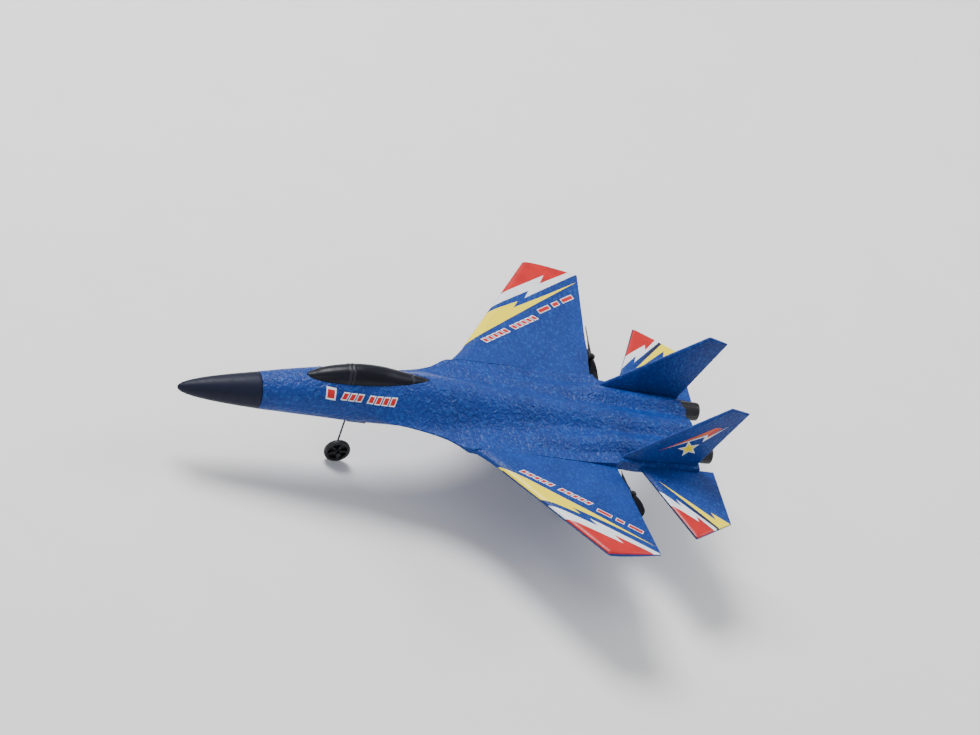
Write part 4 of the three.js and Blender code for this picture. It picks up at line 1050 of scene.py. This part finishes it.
for side, word in ((1, "left"), (-1, "right")):
    film("wing_film_" + word, face_patch(wing_surface, 1, side), sided_shapes(WING_SHAPES, side), (0, 1),
         (0, 0, 1))
    film("stabilizer_film_" + word, face_patch(stab_surface, 1, side), sided_shapes(STAB_SHAPES, side),
         (0, 1), (0, 0, 1))
    film("fin_film_" + word, face_patch(fin_surface, 1, side), FIN_SHAPES, (1, 2), (side, 0, 0))

SIDE_SHAPES = rimmed_bar((93.6, 20.8), (1, 0.04), 4.6, 4.2, 0, 0.9, vinyl_red, vinyl_white)
for offset in (9.6, 14.4, 19.2, 26.8, 31.6, 36.4, 41.2):
    SIDE_SHAPES += rimmed_bar((93.3 + offset, 20.8 + 0.045 * offset), (1, 0.045), 2.9, 3.2, 1.5, 0.55,
                              vinyl_red, vinyl_white)
for side, word in ((1, "left"), (-1, "right")):
    patch = []
    for s in np.linspace(86, 142, 72):
        lean = FOAM_TILT * max(0.0, 1 - (s - 52) / 68)
        x = np.linspace(0.06, 0.985, 110) * float(half_at(s))
        w = body_top(x, np.full(len(x), s))
        patch.append(np.stack([x, s - (w - level_at(s)) * lean, w], -1))
    film("body_film_" + word, sided(patch, side), SIDE_SHAPES, (1, 2), (side, 0, 0.3))

# ---------------------------------------------------------------- finishes of the carried-over nodes

FINISH = {
    "battery_tray": tray_black, "battery_hatch": tray_black, "switch_slider": satin_black,
    "nose_gear_base": satin_black, "nose_wheel_collar": satin_black, "switch_body": bright_steel,
    "hatch_pin": bright_steel, "board_screw_1": bright_steel, "board_screw_2": bright_steel,
    "battery_pack": foil, "battery_plug": white_abs, "battery_lead": lead_red,
    "receiver_board": board_green, "aerial_wire": lead_black,
}
for word in ("left", "right"):
    FINISH.update({
        "motor_" + word: can_steel, "motor_cap_" + word: white_abs, "motor_shaft_" + word: bright_steel,
        "motor_lead_" + word: lead_red, "main_gear_base_" + word: satin_black,
        "main_wheel_collar_" + word: satin_black,
    })
SOFTENED = ("battery_tray", "battery_hatch", "nose_gear_base", "main_gear_base_left", "main_gear_base_right",
            "battery_plug", "receiver_board", "switch_body", "switch_slider")
for name, mat in FINISH.items():
    node = nodes[name]
    node.data.materials.clear()
    node.data.materials.append(mat)
    if name in SOFTENED:
        weld = node.modifiers.new("weld", "WELD")
        weld.merge_threshold = 1e-6
        bevel = node.modifiers.new("edges", "BEVEL")
        bevel.width, bevel.segments, bevel.limit_method = 0.00018, 2, "ANGLE"
        bevel.angle_limit = math.radians(40)

# ---------------------------------------------------------------- floor, light and camera

def pale_floor():
    """A wide flat sheet of matte paper under the wheels."""
    mesh = bpy.data.meshes.new("floor")
    count, size = 24, 12.0
    edge = np.linspace(-size, size, count + 1)
    points = [(x, y, 0.0) for y in edge for x in edge]
    row = count + 1
    faces = [(r * row + k, r * row + k + 1, (r + 1) * row + k + 1, (r + 1) * row + k)
             for r in range(count) for k in range(count)]
    mesh.from_pydata(points, [], faces)
    floor = link("floor", mesh)
    p = Paint("floor_paper", 0.85, specular=0.2)
    p.colour(p.blend(p.ranged(p.noise(60, 3.0), 0.3, 0.7, 0.0, 1.0), srgb(243, 242, 240),
                     srgb(240, 239, 237)))
    floor.data.materials.append(p.mat)


def soft_light(name, at, aim, size, power):
    """A round area light aimed at a point."""
    data = bpy.data.lights.new(name, "AREA")
    data.shape, data.size, data.energy = "DISK", size, power
    lamp = bpy.data.objects.new(name, data)
    lamp.location = at
    lamp.rotation_euler = (Vector(aim) - Vector(at)).to_track_quat("-Z", "Y").to_euler()
    scene.collection.objects.link(lamp)


pale_floor()
soft_light("key", (-0.9, -0.5, 1.6), (0, 0, 0.05), 0.8, 42)
soft_light("fill", (1.6, -1.0, 1.1), (0, 0, 0.05), 1.4, 6)
soft_light("rear", (-0.4, 1.5, 1.2), (0, 0.05, 0.05), 0.9, 12)

world = bpy.data.worlds.new("studio")
world.use_nodes = True
world.node_tree.nodes["Background"].inputs["Color"].default_value = (0.93, 0.95, 1.0, 1)
world.node_tree.nodes["Background"].inputs["Strength"].default_value = 0.6
scene.world = world

# The camera's axes and place, in the row frame.
RIGHT = Vector((0.202471, 0.915513, 0.347622))
DOWN = Vector((0.699487, 0.113230, -0.705619))
AHEAD = Vector((-0.685364, 0.386024, -0.617463))
camera = bpy.data.objects.new("camera", bpy.data.cameras.new("camera"))
camera.data.lens, camera.data.sensor_width = 310.92, 36
camera.data.clip_start, camera.data.clip_end = 0.1, 60
camera.matrix_world = Matrix((
    (RIGHT.x, -DOWN.x, -AHEAD.x, 3.638893),
    (RIGHT.y, -DOWN.y, -AHEAD.y, -2.035394),
    (RIGHT.z, -DOWN.z, -AHEAD.z, 3.372516),
    (0, 0, 0, 1)))
scene.collection.objects.link(camera)
scene.camera = camera
